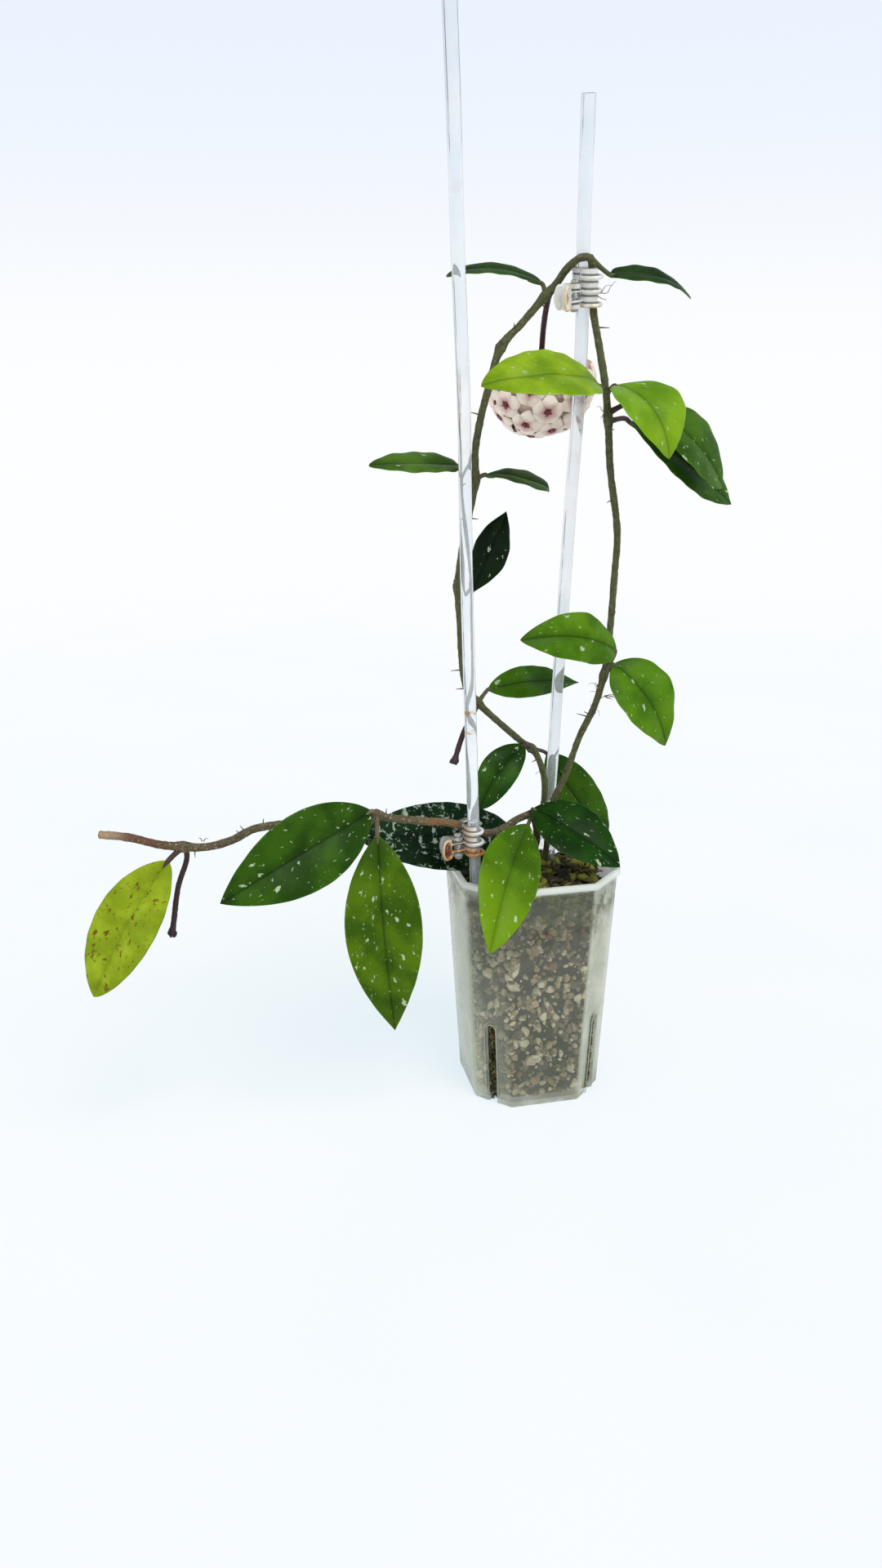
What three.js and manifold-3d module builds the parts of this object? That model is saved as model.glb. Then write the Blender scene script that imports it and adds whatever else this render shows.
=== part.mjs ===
// A climbing hoya in a clear slotted pot, held to two clear rods by small jaw clips.
// Millimetres, +Z up. The origin is the middle of the pot's underside, and the pot's
// flat faces look along X and Y.
import * as THREE from 'three';
import { mergeVertices } from 'three/addons/utils/BufferGeometryUtils.js';
import Module from 'manifold-3d';

const wasm = await Module();
wasm.setup();

// Driving dimensions

const gap = 0.3; // clear air between two pieces that touch
const up = new THREE.Vector3(0, 0, 1);

// The pot is a square with cut corners: flat is the distance from the middle to a main
// face, and side is half of that face's length.
const pot = {
  height: 110,
  base: { flat: 29.7, side: 15.9 },
  top: { flat: 35.5, side: 20 },
  wall: 1.2,
  floor: 1.6,
  lipOut: 1.5,
  lipTall: 3.2,
  lipSlope: 0.6,
  slotWidth: 3.6,
  slotTop: 43,
  slotDepth: 8,
  slotRim: 1.3,
  slotRimProud: 0.8,
};

// Lumps of chips press against the pot's wall, with hollows between them about as deep as
// hollow. Within rodRoom of a rod there are none, so that each rod keeps its plain hole.
const filling = { top: 98, relief: 0.7, hollow: 3.8, rodRoom: 7, sideSteps: 5, cornerSteps: 3,
  levels: 9 };
const moss = { low: 3.5, high: 9, edge: 0.45, bump: 1.1, inset: 0.4, rings: 4, sideSteps: 5,
  cornerSteps: 4 };
const rod = { radius: 2.6, sides: 12, step: 36 };

// A stem is thicker by swell at each of its nodes, over about swellReach to either side.
const stem = { radius: 1.45, branchRadius: 1.65, swell: 0.75, swellReach: 2.6, sides: 7, step: 9 };
const rootlet = { radius: 0.42, shortest: 3.4, longest: 5.6, sides: 4 };

// A leaf stalk goes from thick to thin. A flower stalk keeps thick, with a wider foot and knob.
const stalk = { thick: 1.15, thin: 0.85, foot: 0.5, footShare: 0.05, knob: 0.75, knobShare: 0.06,
  sides: 5, step: 5 };

const leafShape = { thick: 0.9, stations: 8, columns: 4, tipHalf: 0.4, stalkSunk: 0.09, waves: 2.5 };

// highest is the height of the top florets as a share of the ball's radius.
const umbelShape = { radius: 22.3, count: 26, highest: 0.12, hub: 2.2, pedicel: 0.55,
  petal: 5.6, petalNotch: 3.1, petalThick: 0.8, petalRaise: 0.3, petalDroop: 0.5,
  crown: 1.9, crownTall: 1.8 };
const umbelCentre = [6.2, 14, 319.3];

// meet is where the two jaws part, measured from the rod's axis towards the stem.
const clip = {
  tall: 15, inner: 3.1, wall: 1.2, depth: 4.7, meet: 2.35, frontEdge: -0.5, rearEdge: 3,
  rib: 2.05, ribPitch: 5, hinge: [-6.9, 2.35], knuckle: 2.1, bore: 1.2, sides: 8,
  pin: 0.85, pinHead: 1.6, pinHeadTall: 0.6,
  padFrom: 4, padTo: 8.2, padStraight: 2, padTall: 9.6, padThick: 1.4, padRim: 1.3, padDish: 0.5,
  padTurn: (5 * Math.PI) / 6, coil: 1.55, wire: 0.3, turns: 2,
};

// Routes, each a list of points chosen by hand along the real piece

const frontRodRoute = [
  [-24, -12, 6], [-28, -14.5, 80], [-29.6, -15.8, 112], [-31, -17, 143], [-33, -20, 194],
  [-35, -23, 246], [-37, -28, 309], [-39, -32, 338], [-41.5, -38, 365], [-44, -46, 391],
  [-49.5, -62, 440],
];
const rearRodRoute = [
  [16, 25, 18], [16, 21, 106], [15, 18, 134], [15, 15, 153], [15, 9, 196], [15, 3, 232],
  [15, -3, 270], [15, -10, 308], [13.5, -17, 335], [11, -24, 366], [7, -38, 416],
];
const vineRoute = [
  [9, 8, 62], [10, 9, 104], [12, 9, 122], [13.2, 7.5, 135], [18, 6.5, 146], [24, 4, 166],
  [29, 0, 180], [32, -3, 195], [33, -6, 214], [33, -10, 241], [33, -12, 255], [32, -13, 263],
  [27, -17, 285], [24, -21, 304], [21.8, -22, 318], [19, -21.8, 332], [15.8, -23.2, 345],
  [14.8, -25.4, 354], [13.7, -27.3, 359.6], [12.1, -28.8, 362.6], [8.6, -28.2, 362.7],
  [4.6, -23.8, 359.2], [1.5, -19.5, 353.8], [-1.8, -17.5, 350.1], [-10.5, -16, 340.3],
  [-19, -16, 331.3],
  [-24.5, -16, 314.6], [-27, -15, 305], [-29, -14, 293], [-29, -13, 280], [-34, -12, 254],
  [-36, -12, 238], [-35, -11, 224], [-32, -9, 195], [-26, -6, 187], [-15, 0, 176],
  [-2, 8, 164], [5, 12, 158], [9.5, 12.8, 148], [10.6, 13, 140], [10.4, 13.6, 132], [9, 16, 120],
  [7.5, 19, 104], [7, 20, 66],
];
const vineNodes = [
  [32, -3, 195], [24, -21, 304], [-1.8, -17.5, 350.1], [-19, -16, 331.3], [-29, -13, 281],
  [-36, -12, 238], [-26, -6, 187], [3, 11, 160],
];
const branchRoute = [
  [2, 14, 66], [3.5, 14, 104], [6, 12, 111], [6, 9, 119], [2, 4, 130], [-5, 0, 130.5],
  [-15, -5, 127.5], [-22, -8.4, 127.5], [-29, -10.6, 130], [-35, -12.4, 133.3],
  [-42, -16.5, 137], [-53, -21, 140], [-70, -22, 143.5], [-74, -22, 145], [-88, -22, 145.5],
  [-104, -21, 144], [-119, -20, 143], [-126, -20, 142], [-135, -20, 138],
  [-146, -20, 136], [-155, -20, 137], [-164, -21, 139], [-176, -22, 143.5], [-187, -23, 146],
];
const branchNodes = [[2, 4, 130], [-74, -22, 145], [-155, -20, 137]];

// Colours

const finish = {
  clearPlastic: [0xdfe9ea, 0.25], clearRod: [0xe8f2f4, 0.08], chips: [0xa8967c, 0.95],
  moss: [0x4d5a1e, 1], stem: [0x6b6650, 0.85], branch: [0x7d6247, 0.85],
  peduncle: [0x3d1a22, 0.7], amberClip: [0xc98a3c, 0.2], clearClip: [0xe9ecdf, 0.15],
  steel: [0xb8bcc0, 0.3], petal: [0xe9c3c6, 0.7], darkLeaf: [0x1f4a20, 0.45],
  midLeaf: [0x2f6322, 0.45], limeLeaf: [0x7fae27, 0.45], yellowLeaf: [0xa3a838, 0.5],
};

// Small tools

function seeded(seed) {
  let state = seed;
  return () => {
    state = (state + 0x6d2b79f5) | 0;
    let mixed = Math.imul(state ^ (state >>> 15), 1 | state);
    mixed = (mixed + Math.imul(mixed ^ (mixed >>> 7), 61 | mixed)) ^ mixed;
    return ((mixed ^ (mixed >>> 14)) >>> 0) / 4294967296;
  };
}

function vec([x, y, z]) {
  return new THREE.Vector3(x, y, z);
}

function solidOf(geometry) {
  const bare = geometry.clone();
  bare.deleteAttribute('normal');
  bare.deleteAttribute('uv');
  const merged = mergeVertices(bare, 1e-4);
  return new wasm.Manifold(new wasm.Mesh({
    numProp: 3,
    vertProperties: new Float32Array(merged.attributes.position.array),
    triVerts: new Uint32Array(merged.index.array),
  }));
}

function geometryOf(solid) {
  const { numProp, vertProperties, triVerts } = solid.getMesh();
  const geometry = new THREE.BufferGeometry();
  const positions = new Float32Array((vertProperties.length / numProp) * 3);
  for (let i = 0; i < positions.length / 3; i += 1) {
    for (let k = 0; k < 3; k += 1) positions[3 * i + k] = vertProperties[numProp * i + k];
  }
  geometry.setAttribute('position', new THREE.BufferAttribute(positions, 3));
  geometry.setIndex(Array.from(triVerts));
  geometry.computeVertexNormals();
  return geometry;
}

function fuse(geometries) {
  return geometries.map(solidOf).reduce((whole, piece) => whole.add(piece));
}

function cut(solid, geometries) {
  return geometries.map(solidOf).reduce((rest, tool) => rest.subtract(tool), solid);
}

function largestPiece(solid) {
  return solid.decompose().sort((a, b) => b.volume() - a.volume())[0];
}

// A closed skin through rings of equal count, with a fan on each end.
function loft(rings) {
  const count = rings[0].length;
  const points = rings.flat();
  const triangles = [];
  for (let r = 0; r + 1 < rings.length; r += 1) {
    for (let k = 0; k < count; k += 1) {
      const a = r * count + k;
      const b = r * count + ((k + 1) % count);
      triangles.push(a, b, b + count, a, b + count, a + count);
    }
  }
  const ends = [[rings[0], 0, true], [rings.at(-1), points.length - count, false]];
  for (const [ring, first, flip] of ends) {
    const middle = points.length;
    const centre = new THREE.Vector3();
    for (const point of ring) centre.addScaledVector(point, 1 / count);
    points.push(centre);
    for (let k = 0; k < count; k += 1) {
      const a = first + k;
      const b = first + ((k + 1) % count);
      triangles.push(...(flip ? [middle, b, a] : [middle, a, b]));
    }
  }
  const geometry = new THREE.BufferGeometry().setFromPoints(points);
  geometry.setIndex(triangles);
  geometry.computeVertexNormals();
  return geometry;
}

// A round bar along a route. radiusAt gets the place along it, from 0 to 1, and the point.
function bar(route, radiusAt, sides, step) {
  const curve = new THREE.CatmullRomCurve3(route.map(vec), false, 'centripetal');
  const steps = Math.max(2, Math.round(curve.getLength() / step));
  const frames = curve.computeFrenetFrames(steps);
  const rings = [];
  for (let i = 0; i <= steps; i += 1) {
    const centre = curve.getPointAt(i / steps);
    const radius = radiusAt(i / steps, centre);
    rings.push(Array.from({ length: sides }, (_, k) => {
      const turn = (2 * Math.PI * k) / sides;
      return centre.clone()
        .addScaledVector(frames.normals[i], radius * Math.cos(turn))
        .addScaledVector(frames.binormals[i], radius * Math.sin(turn));
    }));
  }
  return loft(rings);
}

// A thin plate between two skins of the same grid, split alike on both faces.
function slab(rows, columns, skinPoint) {
  const points = [];
  const triangles = [];
  const width = columns + 1;
  const back = (rows + 1) * width;
  for (const side of [1, -1]) {
    for (let i = 0; i <= rows; i += 1) {
      for (let k = 0; k <= columns; k += 1) {
        points.push(skinPoint(i / rows, (2 * k) / columns - 1, side));
      }
    }
  }
  const quad = (a, b, c, d) => triangles.push(a, b, c, a, c, d);
  for (let i = 0; i < rows; i += 1) {
    for (let k = 0; k < columns; k += 1) {
      const a = i * width + k;
      quad(a, a + width, a + width + 1, a + 1);
      triangles.push(back + a, back + a + width + 1, back + a + width);
      triangles.push(back + a, back + a + 1, back + a + width + 1);
    }
    const left = i * width;
    const right = left + columns;
    quad(left, back + left, back + left + width, left + width);
    quad(right, right + width, back + right + width, back + right);
  }
  for (let k = 0; k < columns; k += 1) {
    const end = rows * width + k;
    quad(k, k + 1, back + k + 1, back + k);
    quad(end, back + end, back + end + 1, end + 1);
  }
  const geometry = new THREE.BufferGeometry().setFromPoints(points);
  geometry.setIndex(triangles);
  geometry.computeVertexNormals();
  return geometry;
}

// Pot, filling and moss

function octagon(flat, side, z, cornerSteps = 1, sideSteps = 1) {
  const corners = [
    [flat, -side], [flat, side], [side, flat], [-side, flat],
    [-flat, side], [-flat, -side], [-side, -flat], [side, -flat],
  ];
  return corners.flatMap(([x, y], k) => {
    const [nextX, nextY] = corners[(k + 1) % 8];
    const steps = k % 2 === 0 ? sideSteps : cornerSteps;
    return Array.from({ length: steps }, (_, i) => new THREE.Vector3(
      x + ((nextX - x) * i) / steps, y + ((nextY - y) * i) / steps, z));
  });
}

// The pot's outline at a height, moved in by inset measured square to every face.
function potOutline(z, inset, cornerSteps, sideSteps) {
  const rise = z / pot.height;
  const flat = THREE.MathUtils.lerp(pot.base.flat, pot.top.flat, rise);
  const side = THREE.MathUtils.lerp(pot.base.side, pot.top.side, rise);
  return octagon(flat - inset, side - inset * (Math.SQRT2 - 1), z, cornerSteps, sideSteps);
}

// An upright slot with a round top, set through the cut corner that looks along turn.
function slotTool(width, top, depth, turn) {
  const below = -1;
  const outline = new THREE.Shape();
  outline.moveTo(-width / 2, below);
  outline.lineTo(width / 2, below);
  outline.lineTo(width / 2, top - width / 2);
  outline.absarc(0, top - width / 2, width / 2, 0, Math.PI, false);
  outline.lineTo(-width / 2, below);
  const geometry = new THREE.ExtrudeGeometry(outline, { depth, bevelEnabled: false, curveSegments: 5 });
  const out = (pot.base.flat + pot.base.side) / Math.SQRT2;
  const lean = Math.atan2((pot.top.flat + pot.top.side) / Math.SQRT2 - out, pot.height);
  geometry.translate(0, 0, -depth / 2);
  geometry.rotateX(Math.PI / 2 - lean);
  geometry.rotateZ(turn + Math.PI / 2);
  geometry.translate(out * Math.cos(turn), out * Math.sin(turn), 0);
  return geometry;
}

function potSolid() {
  const lipLow = pot.height - pot.lipTall;
  const body = solidOf(loft([
    potOutline(0, 0), potOutline(lipLow, 0),
    potOutline(lipLow + pot.lipSlope, -pot.lipOut), potOutline(pot.height, -pot.lipOut),
  ]));
  const corners = [0, 1, 2, 3].map((k) => Math.PI / 4 + (k * Math.PI) / 2);
  const rims = corners.map((turn) => slotTool(
    pot.slotWidth + 2 * pot.slotRim, pot.slotTop + pot.slotRim, 2 * pot.slotRimProud, turn));
  const wide = 3 * pot.top.flat;
  const underside = new THREE.BoxGeometry(wide, wide, wide).translate(0, 0, -wide / 2);
  const inside = loft([
    potOutline(pot.floor, pot.wall), potOutline(pot.height + pot.lipTall, pot.wall),
  ]);
  const shell = cut(rims.reduce((whole, rim) => whole.add(solidOf(rim)), body), [underside, inside]);
  return cut(shell, corners.map((turn) => slotTool(pot.slotWidth, pot.slotTop, pot.slotDepth, turn)));
}

function moved(ring, change) {
  return ring.map((point, k) => change(point.clone(), k));
}

// Rings drawn in towards the middle, so that the last fan closes a nearly flat face.
function shrunk(ring, share, height) {
  return moved(ring, (point, k) => {
    point.x *= share;
    point.y *= share;
    point.z = height(point, k);
    return point;
  });
}

// The two stems, thickened on request to cut what lies against them.
function vineBar(extra, route = vineRoute) {
  return bar(route, stemRadius(stem.radius, vineNodes, extra), stem.sides, stem.step);
}

function branchBar(extra, route = branchRoute) {
  return bar(route, stemRadius(stem.branchRadius, branchNodes, extra), stem.sides, stem.step);
}

function rodBar(route, extra) {
  return bar(route, () => rod.radius + extra, rod.sides, rod.step);
}

// Plain holes for what stands in the pot, a little deeper than its buried ends.
function holes() {
  const endsBelow = filling.top - 10;
  const deeper = (route) => route.map(([x, y, z]) => [x, y, z < endsBelow ? z - 1 : z]);
  return [
    rodBar(deeper(frontRodRoute), gap), rodBar(deeper(rearRodRoute), gap),
    vineBar(gap, deeper(vineRoute)), branchBar(gap, deeper(branchRoute)),
  ];
}

// The chips fill the pot up to a level face, in lumps pressed against its wall.
function fillingSolid() {
  const random = seeded(7);
  const low = pot.floor + gap;
  const inset = pot.wall + gap;
  const rodPoints = [frontRodRoute, rearRodRoute].flatMap(
    (route) => new THREE.CatmullRomCurve3(route.map(vec), false, 'centripetal').getSpacedPoints(90));
  const rings = Array.from({ length: filling.levels + 1 }, (_, level) => {
    const z = low + ((filling.top - low) * level) / filling.levels;
    const ring = potOutline(z, inset, filling.cornerSteps, filling.sideSteps);
    return moved(ring, (point, k) => {
      const between = (level + k) % 2 === 1 && level > 0 && level < filling.levels;
      const nearRod = rodPoints.some((spot) => spot.distanceTo(point) < filling.rodRoom);
      const deepest = between && !nearRod ? filling.hollow : filling.relief;
      const pressed = 1 - (deepest * (between ? 0.7 + 0.3 * random() : random())) / point.length();
      point.x *= pressed;
      point.y *= pressed;
      return point;
    });
  });
  return cut(solidOf(loft(rings)), holes());
}

// The moss is a cushion over the chips, highest behind the stems on the right.
function mossSolid() {
  const random = seeded(23);
  const low = filling.top + gap;
  const outline = potOutline(low, pot.wall + gap + moss.inset, moss.cornerSteps, moss.sideSteps);
  const hill = (point) => {
    const rise = THREE.MathUtils.smoothstep(point.x + 0.3 * point.y, -pot.base.flat, pot.base.flat);
    return moss.low + (moss.high - moss.low) * rise + moss.bump * (2 * random() - 1);
  };
  const rings = [outline];
  for (let i = 0; i < moss.rings; i += 1) {
    const edge = i === 0 ? moss.edge : 1;
    const share = 0.98 - i / (moss.rings + 0.4);
    rings.push(shrunk(outline, share, (point) => low + edge * hill(point)));
  }
  return cut(solidOf(loft(rings)), holes());
}

// Stems

function stemRadius(radius, nodes, extra = 0) {
  const swollen = nodes.map(vec);
  return (along, point) => {
    const nearest = Math.min(...swollen.map((node) => node.distanceTo(point)));
    return radius + extra + stem.swell * Math.exp(-((nearest / stem.swellReach) ** 2));
  };
}

// Short aerial roots, scattered along a stem between two shares of its length.
function rootlets(route, count, from, to, seed) {
  const random = seeded(seed);
  const curve = new THREE.CatmullRomCurve3(route.map(vec), false, 'centripetal');
  return Array.from({ length: count }, () => {
    const along = from + (to - from) * random();
    const tangent = curve.getTangentAt(along);
    const outward = new THREE.Vector3(random() - 0.5, random() - 0.5, random() - 0.5);
    outward.addScaledVector(tangent, -outward.dot(tangent)).normalize();
    outward.addScaledVector(tangent, 0.5 * (random() - 0.5)).normalize();
    const length = THREE.MathUtils.lerp(rootlet.shortest, rootlet.longest, random());
    const root = new THREE.ConeGeometry(rootlet.radius, length, rootlet.sides);
    root.translate(0, length / 2, 0);
    root.applyQuaternion(new THREE.Quaternion().setFromUnitVectors(new THREE.Vector3(0, 1, 0), outward));
    return root.translate(...curve.getPointAt(along).toArray());
  });
}

// Leaves. from is the joint on the stem, base and tip are the ends of the blade, face is
// the way its upper side looks, arch lifts its middle to that side, bend moves it
// sideways, fold raises the margins and wave ripples them. taper holds the powers that
// round the blade's base and draw out its tip.

const leaves = [
  { name: 'leaf_yellow', finish: 'yellowLeaf', from: [-155, -20, 137], base: [-161.2, -22, 131.9],
    tip: [-195.3, -28, 77.2], width: 27.5, face: [-0.35, -0.86, 0.37], taper: [0.69, 0.76],
    arch: 2.8, bend: -1.4, fold: 0.12, wave: 0 },
  { name: 'leaf_branch_broad', finish: 'darkLeaf', from: [-74, -22, 145], base: [-77, -27, 148.4],
    tip: [-141.9, -52, 123.4], width: 32, face: [0.04, -1.11, 0.26], taper: [0.8, 0.92],
    arch: 5.6, bend: -0.9, fold: 0.14, wave: 0 },
  { name: 'leaf_branch_hanging', finish: 'darkLeaf', from: [-74, -22, 145], base: [-74.8, -27, 137.6],
    tip: [-70.7, -36, 50.5], width: 32.8, face: [-0.04, -1.01, 0.17], taper: [0.85, 1.04],
    arch: 4.5, bend: -1.5, fold: 0.12, wave: 0 },
  { name: 'leaf_splashed', finish: 'darkLeaf', from: [-74, -22, 145], base: [-79.3, -10, 130.4],
    tip: [-0.6, 18, 114], width: 32.4, face: [-0.1, -0.81, 0.59], taper: [0.66, 0.57],
    arch: 2, bend: 0.1, fold: 0.1, wave: 0 },
  { name: 'leaf_front_bright', finish: 'midLeaf', from: [1, 3, 130], base: [-2.8, -6.5, 129.7],
    tip: [-33.9, -58, 92.7], width: 27.7, face: [0.34, -0.62, 0.71], taper: [0.87, 0.89],
    arch: 5.5, bend: -3.9, fold: 0.1, wave: 0 },
  { name: 'leaf_right_dark', finish: 'darkLeaf', from: [3, 4.5, 130.8], base: [1.1, 0, 134.3],
    tip: [35.5, -22, 111.3], width: 29.4, face: [0.08, -0.61, 0.79], taper: [0.68, 0.89],
    arch: 4.9, bend: -1.4, fold: 0.1, wave: 0 },
  { name: 'leaf_rear', finish: 'darkLeaf', from: [3, 11, 160], base: [16.8, 30, 151],
    tip: [49.6, 34, 103.5], width: 25, face: [0.1, -0.95, 0.3], taper: [0.71, 0.82],
    arch: 3.8, bend: -2.4, fold: 0.1, wave: 0 },
  { name: 'leaf_low_left', finish: 'darkLeaf', from: [3, 11, 160], base: [-1.9, 5.5, 163.4],
    tip: [-25.1, -6, 138.5], width: 16.7, face: [-0.12, -0.94, 0.35], taper: [0.71, 0.7],
    arch: 3.5, bend: -2.7, fold: 0.1, wave: 0 },
  { name: 'leaf_long_left', finish: 'midLeaf', from: [-26, -6, 187], base: [-20.2, -1, 191.2],
    tip: [32.6, 33, 184.1], width: 14.5, face: [0.12, -0.91, 0.42], taper: [0.75, 1.13],
    arch: 1.4, bend: 2, fold: 0.1, wave: 0 },
  { name: 'leaf_waved', finish: 'midLeaf', from: [32, -3, 195], base: [34.8, -9, 207.1],
    tip: [-11.5, -22, 216.2], width: 21.1, face: [0.22, -1, 0.34], taper: [0.56, 0.75],
    arch: 5.5, bend: -2.9, fold: 0.05, wave: 0.9 },
  { name: 'leaf_side_right', finish: 'midLeaf', from: [32.4, -2.5, 194.2], base: [36.8, -2, 199.7],
    tip: [60.4, -8, 162.4], width: 30.1, face: [0.14, -0.84, 0.53], taper: [0.57, 0.89],
    arch: 4.9, bend: 2.1, fold: 0.1, wave: 0.5 },
  { name: 'leaf_lime_left', finish: 'limeLeaf', from: [22.2, -22.4, 314.5], base: [18, -27.5, 316.4],
    tip: [-34.6, -46, 316.5], width: 28, face: [0.02, -0.62, 0.79], taper: [0.75, 0.73],
    arch: 9, bend: 5.8, fold: 0.1, wave: 0 },
  { name: 'leaf_lime_right', finish: 'limeLeaf', from: [22.9, -21.7, 313.7], base: [24.6, -25.6, 316.6],
    tip: [40.6, -46, 289.2], width: 31.6, face: [0.21, -0.74, 0.76], taper: [0.75, 0.85],
    arch: 9, bend: -1.2, fold: 0.12, wave: 0 },
  { name: 'leaf_outer_right', finish: 'midLeaf', from: [23.4, -21.3, 306], base: [32.2, -23, 310],
    tip: [73.3, -24, 276], width: 28.5, face: [0.33, -0.75, 0.58], taper: [1.09, 0.84],
    arch: 6.5, bend: 0.9, fold: 0.1, wave: 0 },
  { name: 'leaf_outer_under', finish: 'darkLeaf', from: [24, -21, 303], base: [34.6, -13, 303.8],
    tip: [84.5, -10, 268.2], width: 22.5, face: [0.31, -0.82, 0.47], taper: [1.3, 0.97],
    arch: 2.9, bend: -0.7, fold: 0.1, wave: 0 },
  { name: 'leaf_top_left', finish: 'darkLeaf', from: [-1.8, -17.5, 350.1], base: [-2.2, -14, 354.7],
    tip: [-38.1, -4, 358], width: 16.9, face: [0.04, -0.31, 0.95], taper: [0.45, 0.45],
    arch: 3.6, bend: 0.1, fold: 0.1, wave: 0 },
  { name: 'leaf_top_right', finish: 'darkLeaf', from: [12.1, -28.8, 362.6], base: [22.2, -25, 356.9],
    tip: [58.1, -18, 349.5], width: 13.9, face: [0.1, -0.49, 0.87], taper: [0.4, 0.65],
    arch: 5, bend: -2.4, fold: 0.1, wave: 0 },
  { name: 'leaf_thin_left', finish: 'darkLeaf', from: [-29, -13, 281], base: [-35.7, -13, 286.4],
    tip: [-72.5, -16, 287.4], width: 19.5, face: [0.01, -0.36, 0.93], taper: [0.46, 0.62],
    arch: 2.6, bend: 4.2, fold: 0.1, wave: 0 },
  { name: 'leaf_thin_right', finish: 'darkLeaf', from: [-29, -13, 281], base: [-25, -14, 282.9],
    tip: [0.2, -20, 276.4], width: 19.7, face: [0.01, -0.24, 0.97], taper: [0.91, 0.45],
    arch: 2.7, bend: -2.3, fold: 0.1, wave: 0 },
  { name: 'leaf_upright_dark', finish: 'darkLeaf', from: [-36, -12, 238], base: [-30, -10, 234.7],
    tip: [-12.8, -2, 267.1], width: 16.5, face: [0.27, -0.95, 0.14], taper: [1.14, 1.13],
    arch: 1.8, bend: 0.4, fold: 0.1, wave: 0 },
];

// Half the blade's width at a share of its length: round at the base, drawn to a point.
function halfWidth({ width, taper }, along) {
  const swell = (share) => share ** taper[0] * (1 - share) ** taper[1];
  const widest = swell(taper[0] / (taper[0] + taper[1]));
  return leafShape.tipHalf + ((width / 2) * swell(along)) / widest;
}

function bladeFrame(leaf) {
  const base = vec(leaf.base);
  const run = vec(leaf.tip).sub(base);
  const length = run.length();
  const forward = run.normalize();
  const face = vec(leaf.face);
  face.addScaledVector(forward, -face.dot(forward)).normalize();
  return { base, length, forward, face, across: face.clone().cross(forward) };
}

function bladePoint(leaf, frame, along, side) {
  const { base, length, forward, face, across } = frame;
  const half = halfWidth(leaf, along);
  const swell = 4 * along * (1 - along);
  const phase = 2 * Math.PI * leafShape.waves * along + (side > 0 ? 0 : Math.PI / 2);
  const ripple = leaf.wave * Math.sin(phase) * side * side;
  return base.clone()
    .addScaledVector(forward, length * along)
    .addScaledVector(face, leaf.arch * swell + leaf.fold * half * Math.abs(side) + ripple)
    .addScaledVector(across, leaf.bend * swell + half * side);
}

function leafSolid(leaf) {
  const frame = bladeFrame(leaf);
  const blade = slab(leafShape.stations, leafShape.columns, (along, side, skin) => bladePoint(
    leaf, frame, along, side).addScaledVector(frame.face, (skin * leafShape.thick) / 2));
  const sunk = bladePoint(leaf, frame, leafShape.stalkSunk, 0).toArray();
  const radiusAt = (along) => THREE.MathUtils.lerp(stalk.thick, stalk.thin, along);
  const ownStalk = bar([leaf.from, leaf.base, sunk], radiusAt, stalk.sides, stalk.step);
  return cut(fuse([blade, ownStalk]), [vineBar(gap), branchBar(gap)]);
}

// Flower stalks and the umbel

const stalkRoutes = {
  peduncle_branch: [[-154, -19.5, 137], [-153.6, -17.5, 131], [-158, -19, 119], [-161, -21, 104],
    [-162, -21, 99]],
  peduncle_loop: [[-26, -6, 187], [-30, -11, 182], [-34, -13, 176], [-39, -16, 164]],
  peduncle_umbel: [[-0.2, -18.6, 352], [0.4, -13, 348], [1.4, -6, 342], [3.6, 4, 333],
    [6.2, 14, 321.1]],
};

function stalkSolid(route) {
  const knob = (along) => stalk.knob * Math.exp(-(((1 - along) / stalk.knobShare) ** 2));
  const foot = (along) => stalk.foot * Math.exp(-((along / stalk.footShare) ** 2));
  const radiusAt = (along) => stalk.thick + knob(along) + foot(along);
  const hub = new THREE.IcosahedronGeometry(umbelShape.hub + gap, 1).translate(...umbelCentre);
  return cut(solidOf(bar(route, radiusAt, stalk.sides, stalk.step)), [hub, vineBar(gap), branchBar(gap)]);
}

// A five-pointed star plate looking along +Z, its middle raised and its tips drooping.
function petalStar() {
  const { petal, petalNotch, petalThick, petalRaise, petalDroop } = umbelShape;
  const ring = (z) => Array.from({ length: 10 }, (_, k) => {
    const notch = k % 2 === 1;
    const radius = notch ? petalNotch : petal;
    const turn = (Math.PI * k) / 5;
    return new THREE.Vector3(
      radius * Math.cos(turn), radius * Math.sin(turn), notch ? z : z - petalDroop);
  });
  const geometry = loft([ring(-petalThick / 2), ring(petalThick / 2)]);
  const peak = geometry.attributes.position.count - 1;
  geometry.attributes.position.setZ(peak, petalThick / 2 + petalRaise);
  return geometry;
}

// A floret on its own thin stalk, looking along +Z at a distance from the hub.
function floret(reach) {
  const { crown, crownTall, pedicel } = umbelShape;
  return [
    petalStar().translate(0, 0, reach),
    new THREE.ConeGeometry(crown, crownTall, 5).rotateX(Math.PI / 2)
      .translate(0, 0, reach + crownTall / 2),
    new THREE.CylinderGeometry(pedicel, pedicel, reach, 3).rotateX(Math.PI / 2)
      .translate(0, 0, reach / 2),
  ];
}

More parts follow.
